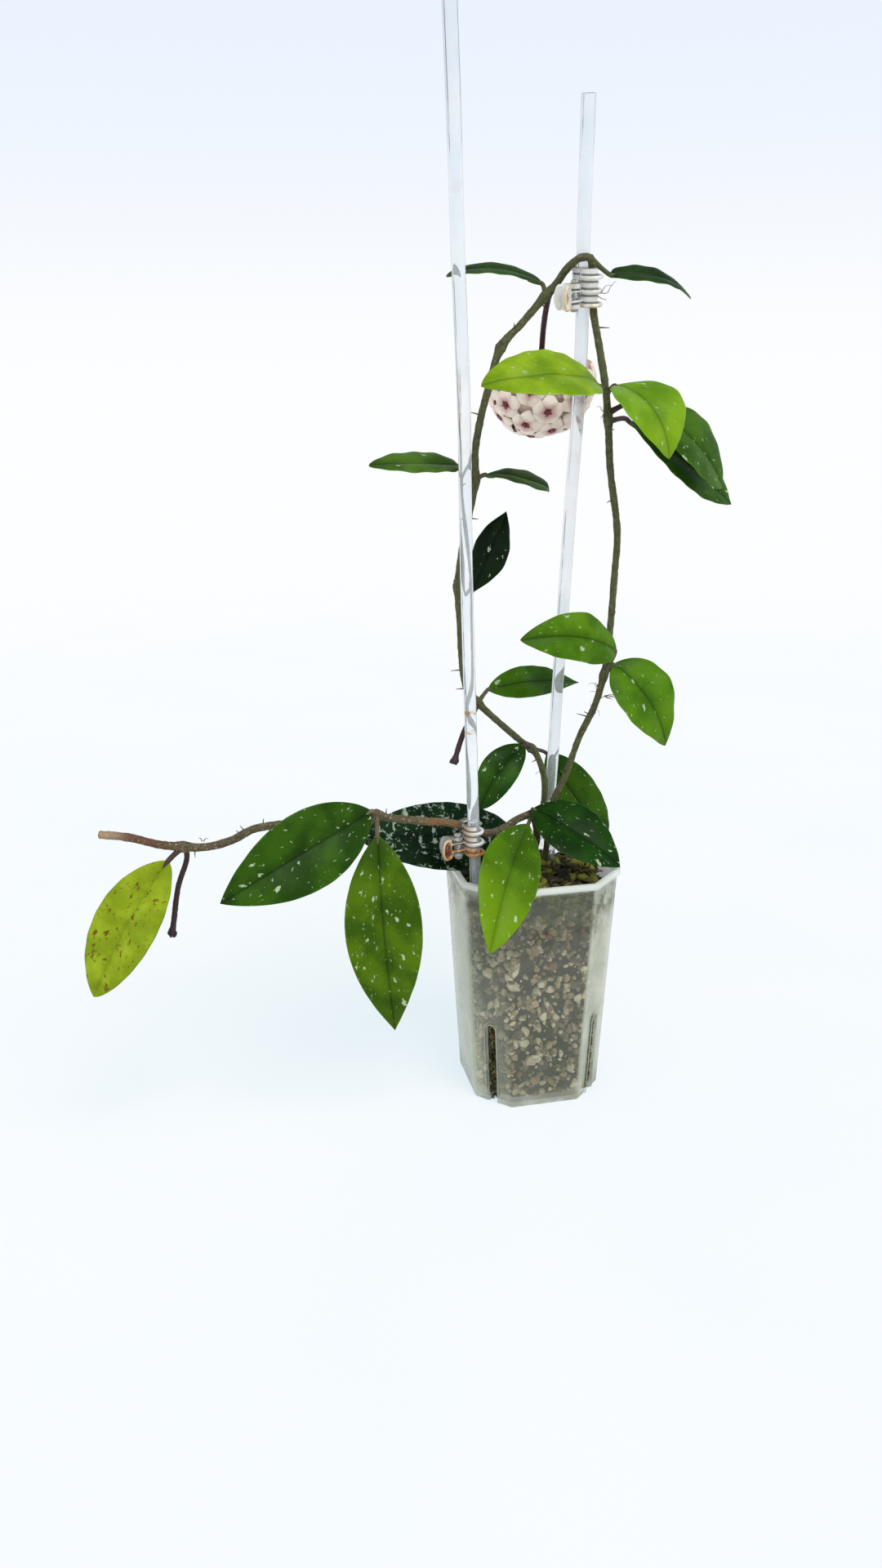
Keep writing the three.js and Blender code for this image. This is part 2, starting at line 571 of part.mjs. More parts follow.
// The florets cover the lower part of a ball, placed by the golden angle.
function umbelSolid() {
  const random = seeded(41);
  const { radius, count, highest, hub } = umbelShape;
  const pieces = [new THREE.IcosahedronGeometry(hub, 1)];
  for (let k = 0; k < count; k += 1) {
    const z = highest - ((highest + 1) * (k + 0.5)) / count;
    const turn = k * Math.PI * (3 - Math.sqrt(5));
    const flat = Math.sqrt(1 - z * z);
    const outward = new THREE.Vector3(flat * Math.cos(turn), flat * Math.sin(turn), z);
    const aim = new THREE.Quaternion().setFromUnitVectors(up, outward)
      .multiply(new THREE.Quaternion().setFromAxisAngle(up, 2 * random()));
    const reach = radius + random() - 0.5;
    pieces.push(...floret(reach).map((piece) => piece.applyQuaternion(aim)));
  }
  return fuse(pieces.map((piece) => piece.translate(...umbelCentre)));
}

// Jaw clips. Each is drawn round its rod: the rod's axis is Z, the stem is held behind it
// on +Y, and the finger pads reach out along -X. The jaws' knuckles take turns up the pin.

const knuckleLevels = { rear: [[0, 2.2], [7.4, 9.6]], front: [[2.5, 3.4], [6.2, 7.1]] };

function block(x, y, z) {
  return new THREE.BoxGeometry(x[1] - x[0], y[1] - y[0], z[1] - z[0]).translate(
    (x[0] + x[1]) / 2, (y[0] + y[1]) / 2, (z[0] + z[1]) / 2);
}

function roundTool(radius, z) {
  const geometry = new THREE.CylinderGeometry(radius, radius, z[1] - z[0], clip.sides);
  return geometry.rotateX(Math.PI / 2).translate(...clip.hinge, (z[0] + z[1]) / 2);
}

// The band round rod and stem between two heights.
function jawBand(z) {
  const outline = (shape, radius) => {
    shape.moveTo(radius, 0);
    shape.lineTo(radius, clip.depth);
    shape.absarc(0, clip.depth, radius, 0, Math.PI, false);
    shape.lineTo(-radius, 0);
    shape.absarc(0, 0, radius, Math.PI, 2 * Math.PI, false);
    return shape;
  };
  const shape = outline(new THREE.Shape(), clip.inner + clip.wall);
  shape.holes.push(outline(new THREE.Path(), clip.inner));
  return new THREE.ExtrudeGeometry(shape, { depth: z[1] - z[0], bevelEnabled: false, curveSegments: 5 })
    .translate(0, 0, z[0]);
}

// A finger pad with a dish in its outer face.
function padSolid(front) {
  const turn = front ? -clip.padTurn : clip.padTurn;
  const centre = clip.padFrom + clip.padStraight;
  const plate = (inset, depth, offset) => {
    const half = clip.padTall / 2 - inset;
    const shape = new THREE.Shape();
    shape.moveTo(clip.padFrom + inset, -half);
    shape.lineTo(centre, -half);
    shape.absellipse(centre, 0, clip.padTo - centre - inset, half, -Math.PI / 2, Math.PI / 2, false);
    shape.lineTo(clip.padFrom + inset, half);
    return new THREE.ExtrudeGeometry(shape, { depth, bevelEnabled: false, curveSegments: 4 })
      .translate(0, clip.padTall / 2, offset)
      .rotateX(Math.PI / 2)
      .rotateZ(turn)
      .translate(...clip.hinge, 0);
  };
  const half = clip.padThick / 2;
  const dish = plate(clip.padRim, 2 * clip.padDish, front ? -half - clip.padDish : half - clip.padDish);
  return cut(solidOf(plate(0, clip.padThick, -half)), [dish]);
}

// A jaw is its share of the band, three ribs that close over the other jaw's side, a pad
// and the two knuckles that join them at the hinge.
function jawSolid(front, stemTools) {
  const far = 2 * clip.tall;
  const { tall, meet, depth, knuckle, padThick, ribPitch } = clip;
  const seam = [meet - gap / 2, meet + gap / 2];
  const band = solidOf(jawBand([0, tall]));
  const kept = (boxes) => fuse(boxes).intersect(band);
  const parts = [padSolid(front), kept(front
    ? [block([-far, clip.frontEdge], [-far, seam[0]], [0, tall])]
    : [block([-far, 0], [seam[1], far], [0, tall]),
      block([-1, clip.rearEdge], [depth + gap, far], [0, tall])])];
  for (let k = 0; k < 3; k += 1) {
    const low = k * ribPitch + (front ? 0 : ribPitch / 2);
    const level = [low, low + clip.rib];
    parts.push(kept(front
      ? [block([-far, far], [-far, seam[0]], level), block([0, far], [-far, depth], level)]
      : [block([-far, far], [seam[1], far], level), block([0, far], [0, far], level)]));
  }
  for (const level of knuckleLevels[front ? 'front' : 'rear']) {
    const side = front ? [meet - knuckle, meet - gap / 2] : [meet + gap / 2, meet + knuckle];
    const arm = block([0, clip.padFrom + gap], [-padThick / 2, padThick / 2], level)
      .rotateZ(front ? -clip.padTurn : clip.padTurn)
      .translate(...clip.hinge, 0);
    parts.push(solidOf(roundTool(knuckle, level)), solidOf(arm));
    parts.push(solidOf(block([clip.hinge[0], -clip.inner - clip.wall / 2], side, level)));
  }
  const whole = parts.reduce((sum, part) => sum.add(part));
  return largestPiece(cut(whole, [roundTool(clip.bore, [-gap, tall]), ...stemTools]));
}

function pinSolid() {
  const top = knuckleLevels.rear[1][1] + gap;
  const head = clip.pinHeadTall;
  return fuse([
    roundTool(clip.pin, [-gap - head / 2, top + head / 2]),
    roundTool(clip.pinHead, [-gap - head, -gap]),
    roundTool(clip.pinHead, [top, top + head]),
  ]);
}

// A wire coil round the pin, between the front jaw's knuckles.
function springSolid() {
  const [x, y] = clip.hinge;
  const steps = 10 * clip.turns;
  const low = knuckleLevels.front[0][1] + gap + clip.wire;
  const high = knuckleLevels.front[1][0] - gap - clip.wire;
  const route = Array.from({ length: steps + 1 }, (_, i) => {
    const turn = (2 * Math.PI * clip.turns * i) / steps;
    return [x + clip.coil * Math.cos(turn), y + clip.coil * Math.sin(turn),
      THREE.MathUtils.lerp(low, high, i / steps)];
  });
  return solidOf(bar(route, () => clip.wire, 5, 1));
}

// Each clip stands at a point on its rod, leans as the rod does there and is turned so that
// its pads reach the way they do on the plant.
const clips = [
  { name: 'clip_lower', at: [-30, -16.2, 121], along: [-1.4, -1.2, 31], turn: 0.26,
    frontFinish: 'amberClip' },
  { name: 'clip_upper', at: [14.9, -23.4, 345.5], along: [-2.5, -7, 31], turn: 0.5,
    frontFinish: 'clearClip' },
];

// Assembly

function meshOf(name, solid, finishName) {
  const [colour, roughness] = finish[finishName];
  const clear = finishName === 'clearPlastic' || finishName === 'clearRod';
  const material = new THREE.MeshStandardMaterial({
    color: colour, roughness, metalness: finishName === 'steel' ? 1 : 0,
    transparent: clear, opacity: clear ? 0.4 : 1,
  });
  const mesh = new THREE.Mesh(solid.isBufferGeometry ? solid : geometryOf(solid), material);
  mesh.name = name;
  return mesh;
}

const plant = new THREE.Group();
plant.add(
  meshOf('pot', potSolid(), 'clearPlastic'),
  meshOf('chips', fillingSolid(), 'chips'),
  meshOf('moss', mossSolid(), 'moss'),
  meshOf('rod_front', rodBar(frontRodRoute, 0), 'clearRod'),
  meshOf('rod_rear', rodBar(rearRodRoute, 0), 'clearRod'),
  meshOf('vine_loop', fuse([vineBar(0), ...rootlets(vineRoute, 16, 0.12, 0.9, 5)]), 'stem'),
  meshOf('vine_branch', fuse([branchBar(0), ...rootlets(branchRoute, 9, 0.5, 0.93, 9)]), 'branch'),
  meshOf('umbel', umbelSolid(), 'petal'),
  ...leaves.map((leaf) => meshOf(leaf.name, leafSolid(leaf), leaf.finish)),
  ...Object.entries(stalkRoutes).map(([name, route]) => meshOf(name, stalkSolid(route), 'peduncle')),
);

for (const { name, at, along, turn, frontFinish } of clips) {
  const holder = new THREE.Group();
  holder.position.copy(vec(at));
  holder.quaternion.setFromUnitVectors(up, vec(along).normalize())
    .multiply(new THREE.Quaternion().setFromAxisAngle(up, turn));
  holder.updateMatrix();
  const toClip = holder.matrix.clone().invert();
  const stemTools = [vineBar(gap), branchBar(gap)].map((tool) => tool.applyMatrix4(toClip));
  holder.add(meshOf(`${name}_jaw_rear`, jawSolid(false, stemTools), 'clearClip'));
  holder.add(meshOf(`${name}_jaw_front`, jawSolid(true, stemTools), frontFinish));
  holder.add(meshOf(`${name}_pin`, pinSolid(), 'clearClip'));
  holder.add(meshOf(`${name}_spring`, springSolid(), 'steel'));
  plant.add(holder);
}

export default plant;
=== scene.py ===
import math
import bmesh
import bpy
import numpy as np
from mathutils import Matrix, Vector


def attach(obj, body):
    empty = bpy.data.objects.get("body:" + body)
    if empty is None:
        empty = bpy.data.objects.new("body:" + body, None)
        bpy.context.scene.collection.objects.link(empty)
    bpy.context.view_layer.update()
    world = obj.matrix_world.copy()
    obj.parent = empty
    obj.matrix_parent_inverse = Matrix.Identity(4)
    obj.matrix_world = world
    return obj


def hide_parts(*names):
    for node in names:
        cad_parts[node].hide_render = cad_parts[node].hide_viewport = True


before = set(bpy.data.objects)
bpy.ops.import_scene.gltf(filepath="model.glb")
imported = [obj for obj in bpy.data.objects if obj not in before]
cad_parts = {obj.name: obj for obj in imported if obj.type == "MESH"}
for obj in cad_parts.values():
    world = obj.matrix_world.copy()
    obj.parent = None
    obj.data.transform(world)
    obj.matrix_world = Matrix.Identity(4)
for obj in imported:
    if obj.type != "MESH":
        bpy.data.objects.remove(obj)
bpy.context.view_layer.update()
print("frame loaded, 39 solids")

# Lengths are millimetres until a piece is built, then metres. A colour of three numbers is
# red, green and blue as a painter reads them, 0 to 255; one of four numbers is light itself.
mm = 0.001
root2 = math.sqrt(2)


# Numbers, routes and closed surfaces.

def seeded(seed):
    # the same draws as the solids were placed with
    mask = 0xFFFFFFFF
    state = seed

    def draw():
        nonlocal state
        state = (state + 0x6D2B79F5) & mask
        mixed = ((state ^ (state >> 15)) * (1 | state)) & mask
        mixed = ((mixed + (((mixed ^ (mixed >> 7)) * (61 | mixed)) & mask)) & mask) ^ mixed
        return (mixed ^ (mixed >> 14)) / (mask + 1)
    return draw


def paint(colour):
    # a painter's colour turned into light
    light = [c / 255 for c in colour]
    return tuple(c / 12.92 if c <= 0.04045 else ((c + 0.055) / 1.055) ** 2.4
                 for c in light) + (1.0,)


def unit(v):
    v = np.asarray(v, float)
    return v / np.maximum(np.linalg.norm(v, axis=-1, keepdims=True), 1e-9)


def smooth(low, high, x):
    t = np.clip((np.asarray(x, float) - low) / (high - low), 0, 1)
    return t * t * (3 - 2 * t)


def ripples(x, y, seed, size):
    # gentle uneven swells over a surface, about -1 to 1
    rng = np.random.default_rng(seed)
    waves, total = 5, 0
    for _ in range(waves):
        turn, phase = rng.uniform(0, math.tau), rng.uniform(0, math.tau)
        scale = rng.uniform(0.7, 1.6)
        run = (x * math.cos(turn) + y * math.sin(turn)) * math.tau * scale / size
        total = total + np.sin(run + phase)
    return total / waves ** 0.5 / 1.2


def around(count):
    # evenly spaced angles of a full turn
    return np.linspace(0, math.tau, count, endpoint=False)


def runAlong(points):
    # the length covered at each point of a line
    return np.concatenate([[0], np.cumsum(np.linalg.norm(np.diff(points, axis=0), axis=1))])


def route(points, step):
    # a smooth line through given points, in even steps
    p = np.array(points, float)
    p = np.vstack([2 * p[0] - p[1], p, 2 * p[-1] - p[-2]])
    t = np.linspace(0, 1, 30, endpoint=False)[:, None]
    fine = []
    for k in range(len(p) - 3):
        a, b, c, d = p[k:k + 4]
        ab, bc, cd = (math.sqrt(np.linalg.norm(v)) for v in (b - a, c - b, d - c))
        t1 = ((b - a) / ab - (c - a) / (ab + bc) + (c - b) / bc) * bc
        t2 = ((c - b) / bc - (d - b) / (bc + cd) + (d - c) / cd) * bc
        fine.append(b + t1 * t + (-3 * b + 3 * c - 2 * t1 - t2) * t ** 2
                    + (2 * b - 2 * c + t1 + t2) * t ** 3)
    fine = np.vstack(fine + [p[-2:-1]])
    run = runAlong(fine)
    even = np.linspace(0, run[-1], max(3, int(round(run[-1] / step)) + 1))
    return np.stack([np.interp(even, run, fine[:, k]) for k in range(3)], 1), even


def alongRoute(points):
    # direction and two sideways directions at each point, without twist
    ahead = unit(np.gradient(points, axis=0))
    side = np.zeros_like(points)
    side[0] = unit(np.cross(ahead[0], (0, 0, 1) if abs(ahead[0][2]) < 0.9 else (1, 0, 0)))
    for k in range(1, len(points)):
        side[k] = unit(side[k - 1] - ahead[k] * (side[k - 1] @ ahead[k]))
    return ahead, side, np.cross(ahead, side)


def ringFaces(rings, count):
    a = (np.arange(rings - 1)[:, None] * count + np.arange(count)[None, :]).ravel()
    b = (np.arange(rings - 1)[:, None] * count + (np.arange(count)[None, :] + 1) % count).ravel()
    return np.stack([a, b, b + count, a + count], 1)


def capFaces(first, count, middle, start):
    a = first + np.arange(count)
    b = first + (np.arange(count) + 1) % count
    m = np.full(count, middle)
    return np.stack([m, b, a], 1) if start else np.stack([m, a, b], 1)


def loftFaces(rings, count):
    # a skin over rings of points, closed by a fan at either end
    total = rings * count
    return [ringFaces(rings, count), capFaces(0, count, total, True),
            capFaces(total - count, count, total + 1, False)]


def closedLoft(rings):
    rings = np.array(rings)
    verts = np.concatenate([rings.reshape(-1, 3), rings[0].mean(0)[None], rings[-1].mean(0)[None]])
    return verts, loftFaces(*rings.shape[:2])


def tube(points, radius, sides, dome=0.5):
    # a closed round bar; radius is one value a ring, or one a point. dome rounds its ends.
    ahead, side, other = alongRoute(points)
    n = len(points)
    radius = np.asarray(radius, float).reshape(n, -1) if np.ndim(radius) else radius
    radius = np.broadcast_to(radius, (n, sides))
    angle = around(sides)
    out = (side[:, None, :] * np.cos(angle)[None, :, None]
           + other[:, None, :] * np.sin(angle)[None, :, None])
    rings = points[:, None, :] + out * radius[:, :, None]
    r0, r1 = radius[0].mean(), radius[-1].mean()
    inner = 0.72 if dome > 0.2 else 0.94
    front = points[0] - ahead[0] * r0 * 0.7 * dome + out[0] * radius[0][:, None] * inner
    back = points[-1] + ahead[-1] * r1 * 0.7 * dome + out[-1] * radius[-1][:, None] * inner
    verts, faces = closedLoft(np.concatenate([front[None], rings, back[None]]))
    verts[-2:] = points[0] - ahead[0] * r0 * dome, points[-1] + ahead[-1] * r1 * dome
    run = runAlong(points)
    run = np.concatenate([[run[0]], run, [run[-1]]])
    place = np.stack(np.broadcast_arrays(np.cos(angle), np.sin(angle), run[:, None]), 2)
    place = np.concatenate([place.reshape(-1, 3), [[0, 0, run[0]], [0, 0, run[-1]]]])
    return verts, faces, place


def manyTubes(paths, radii, sides):
    # many thin bars at once: paths is count x steps x 3, radii is steps long or count x steps
    count, steps, _ = paths.shape
    ahead = unit(np.gradient(paths, axis=1))
    probe = np.where(np.abs(ahead[:, :, 2:3]) < 0.9, np.array([0, 0, 1.0]), np.array([1.0, 0, 0]))
    side = unit(np.cross(ahead, probe))
    other = np.cross(ahead, side)
    angle = around(sides)
    radii = np.broadcast_to(radii, (count, steps))[:, :, None, None]
    rings = paths[:, :, None, :] + radii * (side[:, :, None, :] * np.cos(angle)[:, None]
                                            + other[:, :, None, :] * np.sin(angle)[:, None])
    each = steps * sides + 2
    verts = np.concatenate([rings.reshape(count, -1, 3), paths[:, :1], paths[:, -1:]], 1)
    skin, foot, tip = loftFaces(steps, sides)
    shift = (np.arange(count) * each)[:, None, None]
    faces = [(part[None] + shift).reshape(-1, part.shape[1])
             for part in (skin, np.vstack([foot, tip]))]
    return verts.reshape(-1, 3), faces, each


def moved(points, matrix):
    m = np.array(matrix)
    return points @ m[:3, :3].T + m[:3, 3]


# Building a piece.

class Shape:
    # gathers points and faces, then becomes one piece on one body
    def __init__(self):
        self.points, self.faces, self.slots, self.marks = [], [], [], {}
        self.count = 0

    def add(self, points, faces, slot=0, **marks):
        for face in faces:
            self.faces.append(np.asarray(face, int) + self.count)
            self.slots.append(np.full(len(face), slot))
        for name in {**self.marks, **marks}:
            values = np.broadcast_to(marks.get(name, np.zeros(3)), (len(points), 3))
            self.marks.setdefault(name, [np.zeros((self.count, 3))]).append(values)
        self.points.append(np.asarray(points, float))
        self.count += len(points)

    def bar(self, points, radius, sides, slot=0, dome=0.5):
        verts, faces, place = tube(points, radius, sides, dome)
        self.add(verts, faces, slot, routePlace=place)

    def mesh(self, name, materials=()):
        mesh = bpy.data.meshes.new(name)
        points = np.vstack(self.points) * mm
        mesh.vertices.add(len(points))
        mesh.vertices.foreach_set("co", points.astype(np.float32).ravel())
        sizes = np.concatenate([np.full(len(f), f.shape[1]) for f in self.faces])
        corners = np.concatenate([f.ravel() for f in self.faces])
        mesh.loops.add(len(corners))
        mesh.loops.foreach_set("vertex_index", corners.astype(np.int32))
        mesh.polygons.add(len(sizes))
        mesh.polygons.foreach_set("loop_start", (np.cumsum(sizes) - sizes).astype(np.int32))
        mesh.polygons.foreach_set("material_index", np.concatenate(self.slots).astype(np.int32))
        mesh.update(calc_edges=True)
        mesh.validate()
        for mark, values in self.marks.items():
            setMark(mesh, mark, np.vstack(values))
        return dressed(mesh, *materials)

    def piece(self, name, materials, slot, node, sharp=None, body="plant"):
        asPiece(name, self.mesh(name, materials), node, sharp, body)


def setMark(mesh, name, values):
    attribute = mesh.attributes.new(name, "FLOAT_VECTOR", "POINT")
    attribute.data.foreach_set("vector", values.astype(np.float32).ravel())


def dressed(mesh, *materials):
    mesh.polygons.foreach_set("use_smooth", np.ones(len(mesh.polygons), bool))
    for material in materials:
        mesh.materials.append(material)
    return mesh


def inScene(name, data):
    thing = bpy.data.objects.new(name, data)
    bpy.context.scene.collection.objects.link(thing)
    return thing


def asPiece(name, mesh, node, sharp=None, body="plant"):
    if sharp:
        mesh.set_sharp_from_angle(angle=math.radians(sharp))
    piece = inScene(name, mesh)
    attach(piece, body)
    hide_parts(node)


def applied(mesh, *steps):
    # a mesh after modifiers; each step is (kind, settings)
    holder = inScene("holder", mesh)
    for kind, settings in steps:
        modifier = holder.modifiers.new(kind.lower(), kind)
        for key, value in settings.items():
            setattr(modifier, key, value)
    graph = bpy.context.evaluated_depsgraph_get()
    result = bpy.data.meshes.new_from_object(holder.evaluated_get(graph))
    bpy.data.objects.remove(holder)
    result.materials.clear()
    return result


def cutBy(mesh, tools, how="DIFFERENCE"):
    # joins or cuts a mesh with closed tools, one after another
    for tool in tools:
        other = inScene("tool", tool)
        bpy.context.view_layer.update()
        mesh = applied(mesh, ("BOOLEAN", {"operation": how, "object": other, "solver": "EXACT"}))
        bpy.data.objects.remove(other)
    return mesh


# Materials.

class Value:
    # a shader socket that adds, takes away, multiplies and divides like a number
    def __init__(self, nodes, socket):
        self.nodes, self.socket = nodes, socket

    def __add__(self, other):
        return self.nodes.math("ADD", self, other)

    def __radd__(self, other):
        return self.nodes.math("ADD", other, self)

    def __sub__(self, other):
        return self.nodes.math("SUBTRACT", self, other)

    def __rsub__(self, other):
        return self.nodes.math("SUBTRACT", other, self)

    def __mul__(self, other):
        return self.nodes.math("MULTIPLY", self, other)

    def __truediv__(self, other):
        return self.nodes.math("DIVIDE", self, other)

    def __abs__(self):
        return self.nodes.math("ABSOLUTE", self)


class Nodes:
    # short words for shader nodes; each gives back a Value
    def __init__(self, tree):
        self.tree = tree

    def give(self, socket, value):
        if isinstance(value, Value):
            self.tree.links.new(value.socket, socket)
        else:
            painted = socket.type == "RGBA" and len(value) == 3
            socket.default_value = paint(value) if painted else value

    def node(self, kind, inputs=None, **settings):
        node = self.tree.nodes.new(kind)
        for key, value in settings.items():
            setattr(node, key, value)
        for key, value in (inputs or {}).items():
            self.give(node.inputs[key], value)
        return node

    def add(self, kind, inputs=None, out=0, **settings):
        return Value(self, self.node(kind, inputs, **settings).outputs[out])

    def math(self, operation, a, b=0.0):
        return self.add("ShaderNodeMath", {0: a, 1: b, 2: 0.0}, operation=operation)

    def most(self, first, *others):
        for other in others:
            first = self.math("MAXIMUM", first, other)
        return first

    def fade(self, value, low, high, start=0.0, end=1.0):
        return self.add("ShaderNodeMapRange", {
            "Value": value, "From Min": low, "From Max": high, "To Min": start, "To Max": end},
            "Result", interpolation_type="SMOOTHSTEP")

    def noise(self, place, scale, detail=2.0, rough=0.5, warp=0.0):
        return self.add("ShaderNodeTexNoise", {
            "Vector": place, "Scale": scale, "Detail": detail, "Roughness": rough,
            "Distortion": warp}, "Fac")

    def mix(self, share, first, second, how="MIX"):
        return self.add("ShaderNodeMix", {0: share, 6: first, 7: second}, 2,
                        data_type="RGBA", blend_type=how)

    def spots(self, place, scale, share, small, large, soft):
        # round spots in a chosen share of the cells, each of its own size
        cell = self.node("ShaderNodeTexVoronoi", {"Vector": place, "Scale": scale},
                         voronoi_dimensions="2D").outputs
        pick, size, _ = self.split(Value(self, cell["Color"]))
        reach = small + self.math("POWER", size, 2.0) * (large - small)
        inside = self.fade(Value(self, cell["Distance"]) - reach, soft, -soft)
        return inside * self.math("LESS_THAN", pick, share)

    def split(self, vector):
        return [Value(self, out) for out in self.node("ShaderNodeSeparateXYZ", {0: vector}).outputs]

    def join(self, x, y, z):
        return self.add("ShaderNodeCombineXYZ", {0: x, 1: y, 2: z})

    def mark(self, name):
        return self.add("ShaderNodeAttribute", out="Vector", attribute_name=name)

    def scaled(self, vector, by):
        return self.add("ShaderNodeVectorMath", {0: vector, 1: by}, operation="MULTIPLY")

    def length(self, vector):
        return self.add("ShaderNodeVectorMath", {0: vector}, "Value", operation="LENGTH")

    def facing(self):
        return self.add("ShaderNodeLayerWeight", {"Blend": 0.5}, "Facing")

    def place(self):
        # the piece's own coordinates, in millimetres
        return self.scaled(self.add("ShaderNodeTexCoord", out="Object"), (1000, 1000, 1000))

    def effect(self, group, look, **given):
        # a shared effect whose colours and amounts come from a piece's dictionary
        node = self.node("ShaderNodeGroup", node_tree=group)
        for socket in node.inputs:
            self.give(socket, given.get(socket.name, look.get(socket.name.lower())))
        return {out.name: Value(self, out) for out in node.outputs}


def makeEffect(name, draw, places, colours, values=""):
    group = bpy.data.node_groups.new(name, "ShaderNodeTree")
    for words, kind in ((places, "Vector"), (colours, "Color"), (values, "Float")):
        for word in words.split():
            group.interface.new_socket(word, in_out="INPUT", socket_type="NodeSocket" + kind)
    start, end = group.nodes.new("NodeGroupInput"), group.nodes.new("NodeGroupOutput")
    n = Nodes(group)
    for word, value in draw(n, {out.name: Value(n, out) for out in start.outputs}).items():
        kind = "Color" if word == "Color" else "Float"
        group.interface.new_socket(word, in_out="OUTPUT", socket_type="NodeSocket" + kind)
        n.give(end.inputs[word], value)
    return group


def makeMaterial(name, draw, plain=None, bump=(0.4, 0.0004)):
    # plain holds the shader's constants, bump its strength and depth in metres
    material = bpy.data.materials.new(name)
    material.use_nodes = True
    tree = material.node_tree
    tree.nodes.clear()
    n = Nodes(tree)
    shader = n.node("ShaderNodeBsdfPrincipled", plain)
    n.node("ShaderNodeOutputMaterial", {"Surface": Value(n, shader.outputs["BSDF"])})
    painted = draw(n)
    if "Height" in painted:
        painted["Normal"] = n.add("ShaderNodeBump", {
            "Strength": bump[0], "Distance": bump[1], "Height": painted.pop("Height")}, "Normal")
    for socket, value in painted.items():
        n.give(shader.inputs[socket], value)
    return material


# Leaf markings: body colour, midrib, side veins, pale flecks and splashes, margin, underside.
veins = {"step": 8.0, "slant": 0.8}


def drawLeafMarks(n, given):
    place, splash, under = given["Place"], given["Splash"], given["Under"]
    x, y, leafNumber = n.split(place)
    side, along, skin = n.split(given["Shares"])
    patch = n.fade(n.noise(place, 0.07, 3), 0.36, 0.66)
    body = n.mix(patch, given["Deep"], given["Light"])
    reach = along + (n.noise(place, 0.05) - 0.5) * 0.4
    # Glow turns the blade to its tip colour towards the tip; on the front bright leaf this is
    # painted light shining through it from behind
    body = n.mix(n.fade(reach, 0.35, 0.85) * given["Glow"], body, given["Tip"])

    fromRib = abs(x)
    rib = 1.0 - n.fade(fromRib, 0.15, 0.75)
    halo = (1.0 - n.fade(fromRib, 0.3, 4.2)) * 0.36
    step = (y - fromRib * veins["slant"]) + n.noise(place, 0.12, 1) * 5.0
    saw = abs(n.math("FRACT", step / veins["step"]) - 0.5)
    vein = n.fade(saw, 0.40, 0.49) * n.fade(fromRib, 9.0, 1.0, 0.15, 0.6)
    dark = n.most(rib, halo, vein * 0.55)
    darkened = n.mix(1.0, body, (0.3, 0.36, 0.3, 1), "MULTIPLY")
    body = n.mix(dark * given["Rib"], body, darkened)

    slanted = n.join(x * 1.25 + leafNumber, y * 0.8 - fromRib * 0.45, 0.0)
    stir = n.add("ShaderNodeTexNoise", {"Vector": slanted, "Scale": 0.7, "Detail": 4.0}, "Color")
    stirred = n.add("ShaderNodeVectorMath", {0: slanted, 1: n.scaled(stir, (3.6, 3.6, 0))})
    fleck = n.spots(stirred, 0.17, given["Flecks"] * 0.6, 0.05, 0.185, 0.03)
    dot = n.spots(stirred, 0.4, given["Flecks"] * 0.45, 0.05, 0.14, 0.03)
    torn = n.noise(place, 0.2, 5, 0.72, 0.9) - (0.68 - splash * 0.12)
    splashed = n.fade(torn, 0.0, 0.04) * n.math("MINIMUM", splash * 4.0, 1.0)
    marks = n.most(fleck, dot, splashed) * skin
    body = n.mix(marks * 0.9, body, given["Fleck"])
    body = n.mix(n.fade(abs(side), 0.955, 0.995) * 0.4, body, given["Edge"])

    shade = n.mix(1.0, under, (0.62, 0.7, 0.66, 1), "MULTIPLY")
    ridges = n.most(n.most(rib, vein) * 0.4, halo * 0.6)
    under = n.mix(ridges, n.mix((1.0 - patch) * 0.6, under, shade), (150, 172, 86))
    grain = n.noise(place, 1.5, 2)
    rough = (0.36 + marks * 0.14) + (grain * 0.14 + n.fade(skin, 0, 1, 0.16, 0.0))
    return {"Color": n.mix(skin, under, body), "Roughness": rough,
            "Height": grain * 0.28 - (vein * 0.5 + rib) * 0.8}


# Bark: fibres along the stem, corky flecks and a pale dusting.
def drawBarkGrain(n, given):
    x, y, along = n.split(given["Place"])
    fibre = n.noise(n.join(x * 2.2, y * 2.2, along * 0.28), 1.5, 4, 0.65)
    cork = n.noise(n.join(x * 1.4, y * 1.4, along), 0.8, 3, 0.6, 0.5)
    patch = n.noise(n.join(x, y, along * 0.12), 0.7, 2)
    colour = n.mix(n.fade(fibre, 0.3, 0.7), given["Deep"], given["Light"])
    colour = n.mix(n.fade(patch, 0.45, 0.68) * 0.55, colour, given["Patch"])
    colour = n.mix(n.fade(cork, 0.56, 0.66) * given["Dust"], colour, given["Pale"])
    return {"Color": colour, "Height": fibre * 0.7 + cork * 0.5, "Mask": cork}


# Clear plastic: moulding haze, fine scratches and a stain that gathers in places.
def drawPlasticWear(n, given):
    place = given["Place"]
    haze = n.noise(place, 0.05, 2)
    fine = n.noise(n.scaled(place, (1, 1, 0.12)), 2.4, 3, 0.6)
    stain = n.fade(n.noise(place, 0.16, 4, 0.62, 0.4), 0.54, 0.72) * given["Stain"]
    colour = n.mix(n.fade(haze, 0.35, 0.65), given["Clear"], given["Milk"])
    return {"Color": n.mix(stain, colour, given["Grime"]),
            "Roughness": given["Base"] + fine * given["Wear"], "Height": fine, "Mask": stain}


# Crumbs: a tone from each grain or strand, broken up by fine speckle.
def drawCrumbTones(n, given):
    tone, tinted, _ = n.split(given["Tone"])
    speckle = n.noise(given["Place"], 1.3, 4, 0.7)
    blend = tone + (speckle - 0.5) * 0.9
    colour = n.mix(n.fade(blend, 0.05, 0.5), given["Deep"], given["Middle"])
    colour = n.mix(n.fade(blend, 0.45, 0.95), colour, given["Light"])
    return {"Color": n.mix(tinted * 0.6, colour, given["Tint"]), "Height": speckle}


